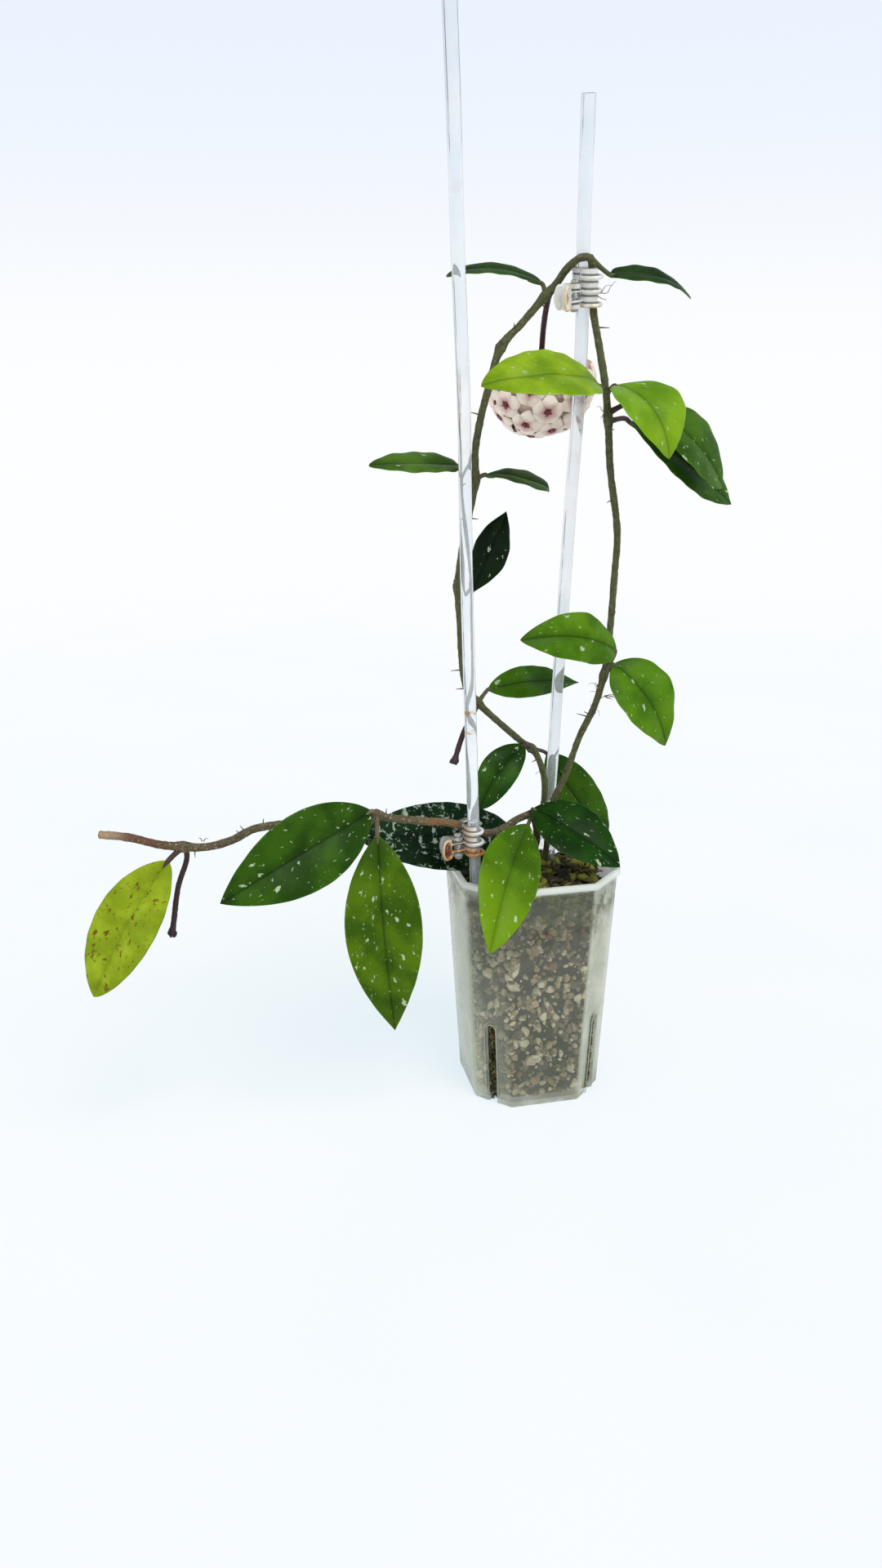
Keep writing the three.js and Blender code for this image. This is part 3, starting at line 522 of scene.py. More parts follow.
leafMarks = makeEffect("leafMarks", drawLeafMarks, "Place Shares",
                       "Deep Light Tip Fleck Edge Under", "Flecks Splash Glow Rib")
barkGrain = makeEffect("barkGrain", drawBarkGrain, "Place", "Deep Light Patch Pale", "Dust")
plasticWear = makeEffect("plasticWear", drawPlasticWear, "Place", "Clear Milk Grime",
                         "Stain Base Wear")
crumbTones = makeEffect("crumbTones", drawCrumbTones, "Place Tone", "Deep Middle Light Tint")


def surface(out, colour=None):
    return {"Base Color": colour or out["Color"], "Roughness": out["Roughness"],
            "Height": out["Height"]}


def uneven(n, amount, low, high):
    # a roughness between two limits, following a pattern
    return n.fade(amount, 0.3, 0.7, low, high)


def barkMaterial(name, look):
    def draw(n):
        out = n.effect(barkGrain, look, Place=n.mark("routePlace"))
        colour, x = out["Color"], n.split(n.place())[0]
        for start, full, stays, gone, amount, tint in look.get("tints", ()):
            cloudy = n.fade(x, start, full) * n.fade(out["Mask"], 0.7, 0.3, amount * 0.5, amount)
            colour = n.mix(cloudy * n.fade(x, gone, stays), colour, tint)
        return {"Base Color": colour, "Height": out["Height"],
                "Roughness": uneven(n, out["Mask"], look["rough"] - 0.1, look["rough"] + 0.12)}
    return makeMaterial(name, draw, None, (look["bump"], 0.0005))


def crumbMaterial(name, look, rough, bump):
    def draw(n):
        out = n.effect(crumbTones, look, Place=n.place(), Tone=n.mark("grainTone"))
        return {"Base Color": out["Color"], "Height": out["Height"],
                "Roughness": uneven(n, out["Height"], rough, rough + 0.12)}
    return makeMaterial(name, draw, None, bump)


# Barks: fibres, patches, the pale dusting and its share. tints are bands of colour along x:
# where each starts, is full, still stays and is gone, how strong it is, and its colour.
barks = {
    "vineBark": {"deep": (40, 42, 18), "light": (88, 90, 48), "patch": (68, 74, 30),
                 "pale": (132, 130, 94), "dust": 0.4, "rough": 0.75, "bump": 0.7},
    "branchBark": {"deep": (46, 38, 20), "light": (96, 86, 54), "patch": (70, 54, 32),
                   "pale": (152, 142, 112), "dust": 0.7, "rough": 0.75, "bump": 0.7,
                   "tints": [(-154, -170, -300, -310, 0.7, (96, 44, 30)),
                             (-174, -184, -300, -310, 0.75, (176, 152, 122)),
                             (-58, -48, -40, -34, 0.5, (140, 92, 38))]},
    "rootBark": {"deep": (62, 34, 24), "light": (112, 72, 52), "patch": (86, 50, 36),
                 "pale": (150, 126, 104), "dust": 0.3, "rough": 0.75, "bump": 0.7},
    "stemFuzz": {"deep": (150, 144, 122), "light": (188, 182, 164), "patch": (168, 160, 138),
                 "pale": (206, 202, 188), "dust": 0.4, "rough": 0.75, "bump": 0.1},
    "darkStalk": {"deep": (22, 4, 8), "light": (52, 18, 22), "patch": (40, 14, 14),
                  "pale": (74, 46, 40), "dust": 0.3, "rough": 0.6, "bump": 0.5},
    "leafStalkGreen": {"deep": (44, 52, 18), "light": (80, 86, 38), "patch": (74, 64, 34),
                       "pale": (112, 108, 76), "dust": 0.35, "rough": 0.6, "bump": 0.4},
    "leafStalkDark": {"deep": (32, 14, 12), "light": (68, 40, 28), "patch": (50, 26, 20),
                      "pale": (94, 84, 60), "dust": 0.35, "rough": 0.6, "bump": 0.4},
    "leafStalkBrown": {"deep": (62, 48, 30), "light": (108, 94, 66), "patch": (84, 62, 40),
                       "pale": (160, 148, 120), "dust": 0.6, "rough": 0.7, "bump": 0.5},
}
bark = {name: barkMaterial(name, look) for name, look in barks.items()}
print("effects ready")


# The pot: a square with cut corners, a lip, and a tall slot low in each cut corner.
pot = {
    "height": 110, "baseFlat": 29.7, "baseSide": 15.9, "topFlat": 35.5, "topSide": 20, "wall": 1.2,
    "floor": 1.6, "cornerRadius": 2.4, "lipTall": 3.2, "slotWidth": 4.8, "slotTop": 41,
    "slotRim": 1.3, "rimThick": 0.78, "clear": (200, 204, 186), "milk": (180, 188, 168),
    "grime": (150, 140, 96), "stain": 0.4, "base": 0.2, "wear": 0.12, "lip": (232, 238, 232),
    "film": 0.09, "filmCorner": 0.5, "filmSide": 0.68, "algae": (80, 86, 40),
    "foot": (118, 108, 66),
    "stains": [(-36.8, -25, 94.8), (-28, -33, 54.1), (22, -33, 88), (30, -27, 40)],
}
cornerTurns = [math.pi / 4 + k * math.pi / 2 for k in range(4)]


def potSize(z):
    rise = z / pot["height"]
    return (pot["baseFlat"] + (pot["topFlat"] - pot["baseFlat"]) * rise,
            pot["baseSide"] + (pot["topSide"] - pot["baseSide"]) * rise)


def potWall(k, flat, side):
    # which way wall k of eight faces, how far out it stands and half its width
    turn = k * math.pi / 4
    if k % 2 == 0:
        return turn, flat, side
    return turn, (flat + side) / root2, (flat - side) / root2


def potRing(z, inset, edge=1):
    # the outline at one height, its corners rounded, each wall in so many steps
    flat, side = potSize(z)
    radius = max(pot["cornerRadius"] - inset, 0.5)
    flat, side = flat - inset, side - inset * (root2 - 1)
    corners = np.array([(flat, -side), (flat, side), (side, flat), (-side, flat),
                        (-flat, side), (-flat, -side), (-side, -flat), (side, -flat)], float)
    ring = []
    for k in range(8):
        before, p, after = corners[k - 1], corners[k], corners[(k + 1) % 8]
        onward = min(radius * 0.414, np.linalg.norm(after - p) * 0.45)
        reach = min(onward, np.linalg.norm(before - p) * 0.45)
        a, b = p + unit(before - p) * reach, p + unit(after - p) * reach
        ring += [(1 - t) ** 2 * a + 2 * t * (1 - t) * p + t ** 2 * b for t in np.linspace(0, 1, 4)]
        nextStart = after + unit(p - after) * onward
        ring += [b + (nextStart - b) * e / edge for e in range(1, edge)]
    return np.column_stack([np.array(ring), np.full(len(ring), z)])


def slotFrame(turn):
    # where a slot's own flat drawing (x across, y up) lies on its leaning corner
    out = (pot["baseFlat"] + pot["baseSide"]) / root2
    top = (pot["topFlat"] + pot["topSide"]) / root2
    lean = math.atan2(top - out, pot["height"])
    return (Matrix.Translation((out * math.cos(turn), out * math.sin(turn), 0))
            @ Matrix.Rotation(turn + math.pi / 2, 4, "Z")
            @ Matrix.Rotation(math.pi / 2 + lean, 4, "X"))


def slotArch(half, steps):
    middle = pot["slotTop"] - pot["slotWidth"] / 2
    return [(half * math.cos(a), middle + half * math.sin(a))
            for a in np.linspace(0, math.pi, steps)]


def slotCutter(turn):
    half = pot["slotWidth"] / 2
    outline = np.array([(-half, -3.0), (half, -3.0)] + slotArch(half, 13))
    rings = [np.column_stack([outline, np.full(len(outline), z)]) for z in (-4, 4)]
    verts, faces = closedLoft(rings)
    shape = Shape()
    shape.add(moved(verts, slotFrame(turn)), faces)
    return shape.mesh("slotCutter")


def slotRim(turn):
    half = pot["slotWidth"] / 2 + pot["slotRim"] / 2
    rise = [(half, y) for y in np.linspace(1.0, pot["slotTop"] - 4, 12)]
    path = np.array(rise + slotArch(half, 15) + [(-x, y) for x, y in reversed(rise)])
    path = moved(np.column_stack([path, np.zeros(len(path))]), slotFrame(turn))
    shape = Shape()
    shape.add(*tube(path, pot["rimThick"], 10)[:2])
    return shape.mesh("slotRim")


def drawPot(n):
    place = n.place()
    z = n.split(place)[2]
    out = n.effect(plasticWear, pot, Place=place)
    band = n.fade(z, 80, 97) * n.fade(z, 107.5, 103)
    algae = n.fade(n.noise(place, 0.13, 4, 0.65), 0.42, 0.62) * band
    foot = n.fade(z, 14, 0.5) * n.fade(n.noise(place, 0.1, 3), 0.35, 0.6, 0.3, 0.8)
    side = n.facing()
    film = n.most(n.fade(side, 0.2, 0.44, pot["film"], pot["filmCorner"]),
                  n.fade(side, 0.66, 0.8, 0.0, pot["filmSide"]),
                  n.fade(z, 105.5, 107.5, 0.0, 0.68),
                  band * n.fade(algae, 0, 1, 0.06, 0.42)) + foot * 0.12
    colour = n.mix(algae, out["Color"], pot["algae"])
    colour = n.mix(foot, colour, pot["foot"])
    colour = n.mix(n.fade(z, 104.5, 107.5, 0.0, 0.7), colour, pot["lip"])
    for spot in pot["stains"]:
        away = n.add("ShaderNodeVectorMath", {0: place, 1: spot}, operation="SUBTRACT")
        reach = n.length(n.scaled(away, (1, 1, 0.35)))
        smudge = n.fade(reach, 3.2, 0.8) * n.fade(n.noise(place, 0.7, 3), 0.35, 0.6)
        colour = n.mix(smudge, colour, pot["algae"])
        film = film + smudge * 0.4
    return {**surface(out, colour), "Alpha": film + out["Mask"] * 0.12}


def makePot():
    # the profile runs from the middle of the base, up outside, over the lip and down inside
    height, wall, floor = pot["height"], pot["wall"], pot["floor"]
    low = height - pot["lipTall"]
    profile = [(0, 1.2), (0.15, 0.45), (0.9, 0)] + [(z, 0) for z in np.linspace(8, low - 0.6, 14)]
    profile += [(low + 0.1, -0.25), (low + 0.45, -0.95), (low + 0.75, -1.38), (low + 1.2, -1.5),
                (height - 0.6, -1.5), (height - 0.2, -1.38), (height, -1.0), (height, 0.55),
                (height - 0.2, 1.0), (height - 0.7, 1.2)]
    profile += [(z, wall) for z in np.linspace(low - 1, 8, 14)]
    profile += [(floor + 1.2, wall), (floor + 0.35, wall + 0.35), (floor, wall + 1.2)]
    shape = Shape()
    shape.add(*closedLoft([potRing(z, inset, 3) for z, inset in profile]))
    mesh = cutBy(shape.mesh("pot"), [slotRim(turn) for turn in cornerTurns], "UNION")
    mesh = cutBy(mesh, [slotCutter(turn) for turn in cornerTurns])
    plastic = makeMaterial("milkyPlastic", drawPot, {"IOR": 1.5, "Specular IOR Level": 0.6},
                           (0.15, 0.0003))
    asPiece("potShell", dressed(mesh, plastic), "pot", 32)


makePot()
print("pot done")


# The chips: single stones just inside the walls round a dark core, painted shade deep among the
# stones, stones on top, and dark strands behind the slots. Each group: how many, its depths behind
# the wall, how finely each stone is divided, and its sizes.
moss = {
    "base": 98.3, "low": 1.4, "mound": 3.6, "moundAt": (15, -4), "moundWide": 15,
    "deep": (20, 14, 4), "middle": (66, 62, 14), "light": (142, 142, 46), "tint": (88, 66, 28),
    "strands": [(230, 8.5, 1.55, 1.3, 9), (420, 6.5, 0.6, 1.6, 6), (420, 6.0, 0.22, 1.2, 4)],
}
mossFibre = crumbMaterial("mossFibre", moss, 0.7, (0.5, 0.0005))
chips = {
    "wallGroups": [(1500, 0.7, 3.6, 2, (1.5, 3.1)), (1500, 0.15, 1.6, 1, (0.7, 1.5))],
    "low": 3.5, "high": 96.0, "top": 240, "topReach": 31, "slotStrands": 110,
    "deep": (56, 47, 30), "middle": (146, 130, 94), "light": (214, 206, 174), "tint": (128, 82, 46),
    "core": (38, 32, 20),
}


def keepInside(points, inset):
    # presses points back against the inside of the pot's eight walls
    for _ in range(2):
        flat, side = potSize(points[..., 2])
        for k in range(8):
            turn, reach, _ = potWall(k, flat, side)
            nx, ny = math.cos(turn), math.sin(turn)
            over = np.maximum(points[..., 0] * nx + points[..., 1] * ny - (reach - inset), 0)
            points[..., 0] -= over * nx
            points[..., 1] -= over * ny
    points[..., 2] = np.maximum(points[..., 2], pot["floor"] + 0.3)
    return points


def roundBall(level):
    ball = bmesh.new()
    bmesh.ops.create_icosphere(ball, subdivisions=level, radius=1.0)
    verts = np.array([v.co for v in ball.verts])
    faces = np.array([[v.index for v in f.verts] for f in ball.faces])
    ball.free()
    return verts, faces


def scatterStones(rng, centres, sizes, level, lump):
    # angular little stones: each a ball cut flat by a few random planes, then turned anyhow
    ball, faces = roundBall(level)
    count = len(centres)
    stones = np.repeat(ball[None], count, 0)
    for _ in range(5):
        normal = unit(rng.normal(size=(count, 1, 3)))
        depth = rng.uniform(0.4, 0.8, (count, 1))
        stones = stones - normal * np.maximum((stones * normal).sum(2) - depth, 0)[:, :, None]
    stones = stones * (1 + lump * rng.normal(size=(count, len(ball), 1)))
    stones = stones * sizes[:, None, :]
    w, x, y, z = unit(rng.normal(size=(count, 4))).T
    turn = np.stack([
        np.stack([1 - 2 * (y * y + z * z), 2 * (x * y - z * w), 2 * (x * z + y * w)], 1),
        np.stack([2 * (x * y + z * w), 1 - 2 * (x * x + z * z), 2 * (y * z - x * w)], 1),
        np.stack([2 * (x * z - y * w), 2 * (y * z + x * w), 1 - 2 * (x * x + y * y)], 1)], 1)
    points = np.einsum("nij,nvj->nvi", turn, stones) + centres[:, None, :]
    shift = (np.arange(count) * len(ball))[:, None, None]
    return points, (faces[None] + shift).reshape(-1, 3)


def wallSpots(rng, count, near, far):
    # places just inside the eight walls, spread evenly by area
    spots = []
    widths = [40, 22] * 4
    share = np.cumsum(widths) / sum(widths)
    golden = 0.6180339887
    for k in range(count):
        wall = int(np.searchsorted(share, (k * golden + rng.uniform(0, 0.004)) % 1.0))
        rise = (k + rng.uniform(0, 1)) / count * 37.0 % 1.0
        z = chips["low"] + (chips["high"] - chips["low"]) * rise
        turn, reach, half = potWall(wall, *potSize(z))
        reach -= 1.5 + rng.uniform(near, far)
        slide = rng.uniform(-half, half)
        spots.append((reach * math.cos(turn) - slide * math.sin(turn),
                      reach * math.sin(turn) + slide * math.cos(turn), z))
    return np.array(spots)


def bySlot(points):
    # 1 close behind a slot of the pot, 0 away from it
    near = np.zeros(len(points))
    for turn in cornerTurns:
        out = points[:, 0] * math.cos(turn) + points[:, 1] * math.sin(turn)
        slide = points[:, 1] * math.cos(turn) - points[:, 0] * math.sin(turn)
        near = np.maximum(near, (out > 22) * smooth(4.5, 2.5, np.abs(slide)))
    return near * smooth(46, 41, points[:, 2])


def slotStrands(shape, rng, turn):
    count = chips["slotStrands"]
    slide, rise = rng.uniform(-2.3, 2.3, count), rng.uniform(1.5, 40, count)
    start = np.column_stack([slide, rise, rng.uniform(-2.4, -0.6, count)])
    bend = rng.normal(size=(count, 3)) * (1.6, 2.2, 0.5)
    steps = np.linspace(0, 1, 5)[None, :, None]
    curl = rng.normal(size=(count, 1, 3)) * (0.9, 0.9, 0.3)
    paths = start[:, None] + bend[:, None] * steps + curl * np.sin(math.pi * steps)
    paths[..., 0] = np.clip(paths[..., 0], -1.8, 1.8)
    paths[..., 1] = np.clip(paths[..., 1], 1.0, 42)
    paths = keepInside(moved(paths.reshape(-1, 3), slotFrame(turn)).reshape(paths.shape), 0.7)
    verts, faces, each = manyTubes(paths, np.array([0.5, 0.55, 0.5, 0.4, 0.2]), 5)
    tone = np.repeat(rng.beta(1.2, 2.6, (count, 1)), each, 0)
    shape.add(verts, faces, 2, grainTone=np.hstack([tone, tone * 0, tone * 0]))


def makeChips():
    rng = np.random.default_rng(11)
    shape = Shape()
    verts, faces = closedLoft([potRing(z, 5.2 + 0.8 * math.sin(z), 3)
                               for z in np.linspace(pot["floor"] + 0.4, 97, 14)])
    shape.add(verts, faces, 1, grainTone=np.zeros(3))
    for count, near, far, level, (small, large) in chips["wallGroups"]:
        centres = wallSpots(rng, count, near, far)
        sizes = rng.uniform(small, large, (count, 1)) * rng.uniform(0.45, 1.15, (count, 3))
        points, faces = scatterStones(rng, centres, sizes, level, 0.03)
        points = keepInside(points, 1.55)
        shade = (1 - 0.45 * smooth(62, 98, centres[:, 2])) * (1 - 0.85 * bySlot(centres))
        tone = rng.beta(1.5, 1.4, count) * shade
        warm = np.where(rng.random(count) < 0.2, rng.uniform(0.3, 1.0, count), 0.0)
        marks = np.column_stack([tone, warm, tone * 0])
        shape.add(points.reshape(-1, 3), [faces], 0,
                  grainTone=np.repeat(marks, points.shape[1], 0))

    top = chips["top"]
    spread = np.sqrt(rng.uniform(0, 1, top))[:, None] * chips["topReach"]
    turn = rng.uniform(0, math.tau, top)[:, None]
    centres = np.hstack([spread * np.cos(turn), spread * np.sin(turn),
                         rng.uniform(92, 94.5, (top, 1))])
    sizes = rng.uniform(1.6, 3.2, (top, 1)) * rng.uniform(0.6, 1.1, (top, 3))
    points, faces = scatterStones(rng, centres, sizes, 1, 0.05)
    tone = np.repeat(rng.uniform(0.1, 0.8, (top, 1)), points.shape[1], 0).repeat(3, 1)
    shape.add(keepInside(points, 1.6).reshape(-1, 3), [faces], 0, grainTone=tone)
    for turn in cornerTurns:
        slotStrands(shape, rng, turn)

    stone = crumbMaterial("paleChips", chips, 0.6, (0.5, 0.0005))
    # the dark core: painted shade in the gaps between and behind the stones
    core = {"deep": chips["core"], "middle": chips["core"], "light": chips["deep"],
            "tint": chips["core"]}
    shape.piece("packedChips", [stone, crumbMaterial("chipShade", core, 0.9, (0.6, 0.001)),
                                mossFibre], "chips", "chips", 36)


makeChips()
print("chips done")


# The moss: a low cushion with a mound, under bent strands. Each group of strands: how many,
# their length, thickness and curl, and how many sides they have.

def mossHeight(x, y):
    away = (x - moss["moundAt"][0]) ** 2 + (y - moss["moundAt"][1]) ** 2
    rise = np.exp(-away / (2 * moss["moundWide"] ** 2))
    return moss["low"] + moss["mound"] * rise + 0.8 * ripples(x, y, 5, 14)


def mossStrands(shape, rng, count, long, thick, curl, sides):
    # bent strands rooted all over the cushion, dark at the foot and lit towards the tip
    steps = 8
    flat, side = potSize(moss["base"])
    roots = rng.uniform(-flat, flat, (count * 3, 2))
    inside = (np.abs(roots).max(1) < flat - 3.2) & (np.abs(roots).sum(1) < flat + side - 4.5)
    roots = roots[inside][:count]
    count = len(roots)
    foot = moss["base"] + mossHeight(roots[:, 0], roots[:, 1]) - thick * 0.6
    t = np.linspace(0, 1, steps)
    heading = rng.uniform(0, math.tau, count)[:, None]
    turned = heading + rng.normal(size=(count, 1)) * curl * t[None] * 1.4
    climb = 1.15 - (1.1 + 1.1 * rng.random((count, 1))) * t[None]
    ahead = unit(np.stack([np.cos(turned), np.sin(turned), climb], 2))
    length = rng.uniform(0.6, 1.15, (count, 1, 1)) * long
    paths = np.column_stack([roots, foot])[:, None, :] + np.cumsum(ahead, 1) * length / steps
    paths = keepInside(paths, 2.2)
    width = thick * (0.75 + 0.35 * np.sin(math.pi * t) - 0.55 * t ** 3)
    width = width[None] * rng.uniform(0.6, 1.25, (count, 1))
    width = width * (1 + 0.22 * np.sin(np.arange(steps) * 2.3 + rng.uniform(0, 6, (count, 1))))
    verts, faces, _ = manyTubes(paths, width, sides)
    above = paths[..., 2] - moss["base"] - mossHeight(paths[..., 0], paths[..., 1])
    # painted light and shade: strands are dark near the cushion and lit towards their tips
    lit = rng.beta(1.5, 1.5, (count, 1)) * (0.12 + 1.0 * smooth(-1.5, 2.6, above))
    brown = np.where(rng.random((count, 1)) < 0.35, rng.uniform(0.3, 1.0, (count, 1)), 0)
    tone = np.stack([lit, brown * np.ones((1, steps)), lit * 0], 2)
    tone = np.concatenate([np.repeat(tone, sides, 1), tone[:, :1], tone[:, -1:]], 1)
    shape.add(verts, faces, 0, grainTone=tone.reshape(-1, 3))


def makeMoss():
    rng = np.random.default_rng(29)
    shape = Shape()
    outline = potRing(moss["base"], 1.9, 4)
    rings = [outline]
    for share in (0.995, 0.97, 0.92, 0.84, 0.74, 0.62, 0.49, 0.35, 0.2, 0.08):
        ring = outline.copy()
        ring[:, :2] *= share
        ring[:, 2] += mossHeight(ring[:, 0], ring[:, 1]) * (0.5 if share > 0.99 else 0.9)
        rings.append(ring)
    # the cushion takes the darkest tone: painted shade in the hollows under the strands
    shape.add(*closedLoft(rings), 0, grainTone=(0.02, 0, 0))
    for group in moss["strands"]:
        mossStrands(shape, rng, *group)
    shape.piece("mossCushion", [mossFibre], "moss", "moss")


makeMoss()
print("moss done")


# The rods: clear acrylic with dark edge lines and dark lines along them, both painted to stand in
# for what the rods refract, two faint amber rings on the front one and a frosted upper end.
rods = {
    "radius": 2.6, "clear": (250, 252, 254), "milk": (240, 246, 250), "grime": (206, 150, 70),
    # edge and the line colour are painted: dark refraction at the rod's edges and in lines along it
    "stain": 0.12, "base": 0.03, "wear": 0.06, "edge": (96, 108, 106), "streak": (30, 38, 38),
    "rings": [(178.2, 178.8, 180, 179.4), (186.2, 187, 188.4, 187.6)],
    "lines": {
        "Front": [(-24, -12, 6), (-28, -14.5, 80), (-29.6, -15.8, 112), (-31, -17, 143),
                  (-33, -20, 194), (-35, -23, 246), (-37, -28, 309), (-39, -32, 338),
                  (-41.5, -38, 365), (-44, -46, 391), (-49.5, -62, 440)],
        "Rear": [(16, 25, 18), (16, 21, 106), (15, 18, 134), (15, 15, 153), (15, 9, 196),
                 (15, 3, 232), (15, -3, 270), (15, -10, 308), (13.5, -17, 335), (11, -24, 366),
                 (7, -38, 416)]},
}


def drawRod(n):
    place = n.place()
    x, _, z = n.split(place)
    out = n.effect(plasticWear, rods, Place=place)
    level = z + n.noise(place, 0.6, 3) * 3.0
    low, high = [n.fade(level, start, full) * n.fade(level, gone, stays)
                 for start, full, gone, stays in rods["rings"]]
    patchy = n.fade(n.noise(place, 0.45, 2), 0.38, 0.6) * n.fade(x, -20, -26)
    turned, _, run = n.split(n.mark("routePlace"))
    # painted dark lines along the rod, standing in for what it refracts
    streak = n.fade(abs(abs(turned) - 0.5), 0.1, 0.04)
    broken = n.fade(n.noise(n.join(0.0, 0.0, run), 0.02, 3, 0.6), 0.46, 0.54)
    # painted shade: the rod darkens where it is seen edge-on, standing in for the dark surroundings
    # it refracts
    colour = n.mix(n.fade(n.facing(), 0.62, 0.86, 0.0, 0.8), out["Color"], rods["edge"])
    colour = n.mix(streak * broken * 0.9, colour, rods["streak"])
    colour = n.mix(n.most(low, high) * patchy, colour, rods["grime"])
    return {**surface(out, colour), "Roughness": out["Roughness"] + n.fade(z, 392, 402, 0.0, 0.3)}


acrylic = makeMaterial("clearAcrylic", drawRod, {"Transmission Weight": 0.76, "IOR": 1.42},
                       (0.012, 0.0002))
for which, rodLine in rods["lines"].items():
    rod = Shape()
    rod.bar(route(rodLine, 6)[0], rods["radius"], 40, dome=0.06)
    rod.piece("rod" + which, [acrylic], "clear_rod", "rod_" + which.lower(), 40)
print("rods done")


# The stems: one long vine that climbs, turns over at the upper clip and comes down again, and
# a side branch. Each thickens at its nodes; roots are where wiry ones start, which way they
# go, how long they are and how many there are.
swell = {"high": 0.75, "reach": 2.6}
stems = {
    "vine": {
        "piece": "vineStem", "bark": "vineBark", "radius": 1.45, "seed": 31, "sides": 18,
        "hairs": (1700, 0.04, 0.97, 0.55), "stubs": (16, 0.12, 0.9, 5),
        "nodes": [(32, -3, 195), (24, -21, 304), (-1.8, -17.5, 350.1), (-19, -16, 331.3),
                  (-29, -13, 281), (-36, -12, 238), (-26, -6, 187), (3, 11, 160)],
        "line": [(9, 8, 62), (10, 9, 104), (12, 9, 122), (13.2, 7.5, 135), (18, 6.5, 146),
                 (24, 4, 166), (29, 0, 180), (32, -3, 195), (33, -6, 214), (33, -10, 241),
                 (33, -12, 255), (32, -13, 263), (27, -17, 285), (24, -21, 304),
                 (21.8, -22, 318), (19, -21.8, 332), (15.8, -23.2, 345), (14.8, -25.4, 354),
                 (13.7, -27.3, 359.6), (12.1, -28.8, 362.6), (8.6, -28.2, 362.7),
                 (4.6, -23.8, 359.2), (1.5, -19.5, 353.8), (-1.8, -17.5, 350.1),
                 (-10.5, -16, 340.3), (-19, -16, 331.3), (-24.5, -16, 314.6), (-27, -15, 305),
                 (-29, -14, 293), (-29, -13, 280), (-34, -12, 254), (-36, -12, 238),
                 (-35, -11, 224), (-32, -9, 195), (-26, -6, 187), (-15, 0, 176), (-2, 8, 164),
                 (5, 12, 158), (9.5, 12.8, 148), (10.6, 13, 140), (10.4, 13.6, 132),
                 (9, 16, 120), (7.5, 19, 104), (7, 20, 66)],
        "roots": [((32.5, -3.5, 186), (0.9, -0.3, -0.4), 9, 5),
                  ((31, -2, 190), (-0.8, -0.5, 0.2), 7, 4),
                  ((33, -8, 222), (-0.7, -0.4, 0.2), 5, 2),
                  ((28, -1, 178), (0.9, 0.2, 0.4), 8, 3),
                  ((15, 7, 139), (0.8, -0.3, 0.3), 6, 2),
                  ((23, -21, 306), (-0.8, -0.5, 0.1), 7, 2),
                  ((16, -25, 350), (0.8, -0.4, -0.5), 10, 3),
                  ((-18, -16, 332), (0.3, -0.5, 0.8), 5, 3),
                  ((-36, -12.5, 239), (-0.9, -0.3, 0.2), 5, 2),
                  ((9.5, 13, 147), (0.7, -0.5, 0.2), 5, 2)]},
    "branch": {
        "piece": "branchStem", "bark": "branchBark", "radius": 1.65, "seed": 47, "sides": 20,
        "hairs": (2200, 0.28, 0.97, 0.62), "stubs": (9, 0.5, 0.93, 9),
        "nodes": [(2, 4, 130), (-74, -22, 145), (-155, -20, 137)],
        "line": [(2, 14, 66), (3.5, 14, 104), (6, 12, 111), (6, 9, 119), (2, 4, 130),
                 (-5, 0, 130.5), (-15, -5, 127.5), (-22, -8.4, 127.5), (-29, -10.6, 130),
                 (-35, -12.4, 133.3), (-42, -16.5, 137), (-53, -21, 140), (-70, -22, 143.5),
                 (-74, -22, 145), (-88, -22, 145.5), (-104, -21, 144), (-119, -20, 143),
                 (-126, -20, 142), (-135, -20, 138), (-146, -20, 136), (-155, -20, 137),
                 (-164, -21, 139), (-176, -22, 143.5), (-187, -23, 146)],
        "roots": [(-147.2, 139), (-140.1, 138.5), (-125.3, 142.5), (-112, 144.5), (-97, 145.5),
                  (-150.5, 137)]},
}


def stemRadius(points, stem, seed):
    nearest = np.min([np.linalg.norm(points - np.array(node), axis=1)
                      for node in stem["nodes"]], axis=0)
    run = runAlong(points)
    lumps = 0.05 * ripples(run, run * 0, seed, 9) + 0.03 * ripples(run, run * 0, seed + 1, 3)
    nodes = swell["high"] * np.exp(-((nearest / swell["reach"]) ** 2))
    return stem["radius"] * (1 + lumps) + nodes


def stemBar(shape, stem):
    line, run = route(stem["line"], 1.1)
    radii = stemRadius(line, stem, stem["seed"])
    rng = np.random.default_rng(stem["seed"])
    angle = around(stem["sides"])[None]
    ridges = (0.035 * np.sin(3 * angle + run[:, None] * 0.05)
              + 0.025 * np.sin(5 * angle - run[:, None] * 0.08))
    bumps = 0.03 * rng.normal(size=(len(line), stem["sides"]))
    shape.bar(line, radii[:, None] * (1 + ridges + bumps), stem["sides"])
    return line, radii


def hairs(shape, rng, line, radii, count, low, high, length):
    # short hairs standing out of a stem between two shares of its length
    thick, lean = 0.045, 0.5
    at = rng.uniform(low, high, count) * (len(line) - 1)
    k = at.astype(int).clip(0, len(line) - 2)
    ahead, side, other = alongRoute(line)
    turn = rng.uniform(0, math.tau, count)[:, None]
    out = side[k] * np.cos(turn) + other[k] * np.sin(turn)
    base = line[k] + (line[k + 1] - line[k]) * (at - k)[:, None] + out * radii[k][:, None] * 0.96
    aim = unit(out + ahead[k] * rng.normal(size=(count, 1)) * lean
               + rng.normal(size=(count, 3)) * 0.2)
    reach = rng.uniform(0.5, 1.0, (count, 1)) * length
    verts, faces, each = manyTubes(np.stack([base, base + aim * reach], 1),
                                   np.array([thick, thick * 0.25]), 3)
    shape.add(verts, faces, 2, routePlace=np.repeat(base, each, 0))


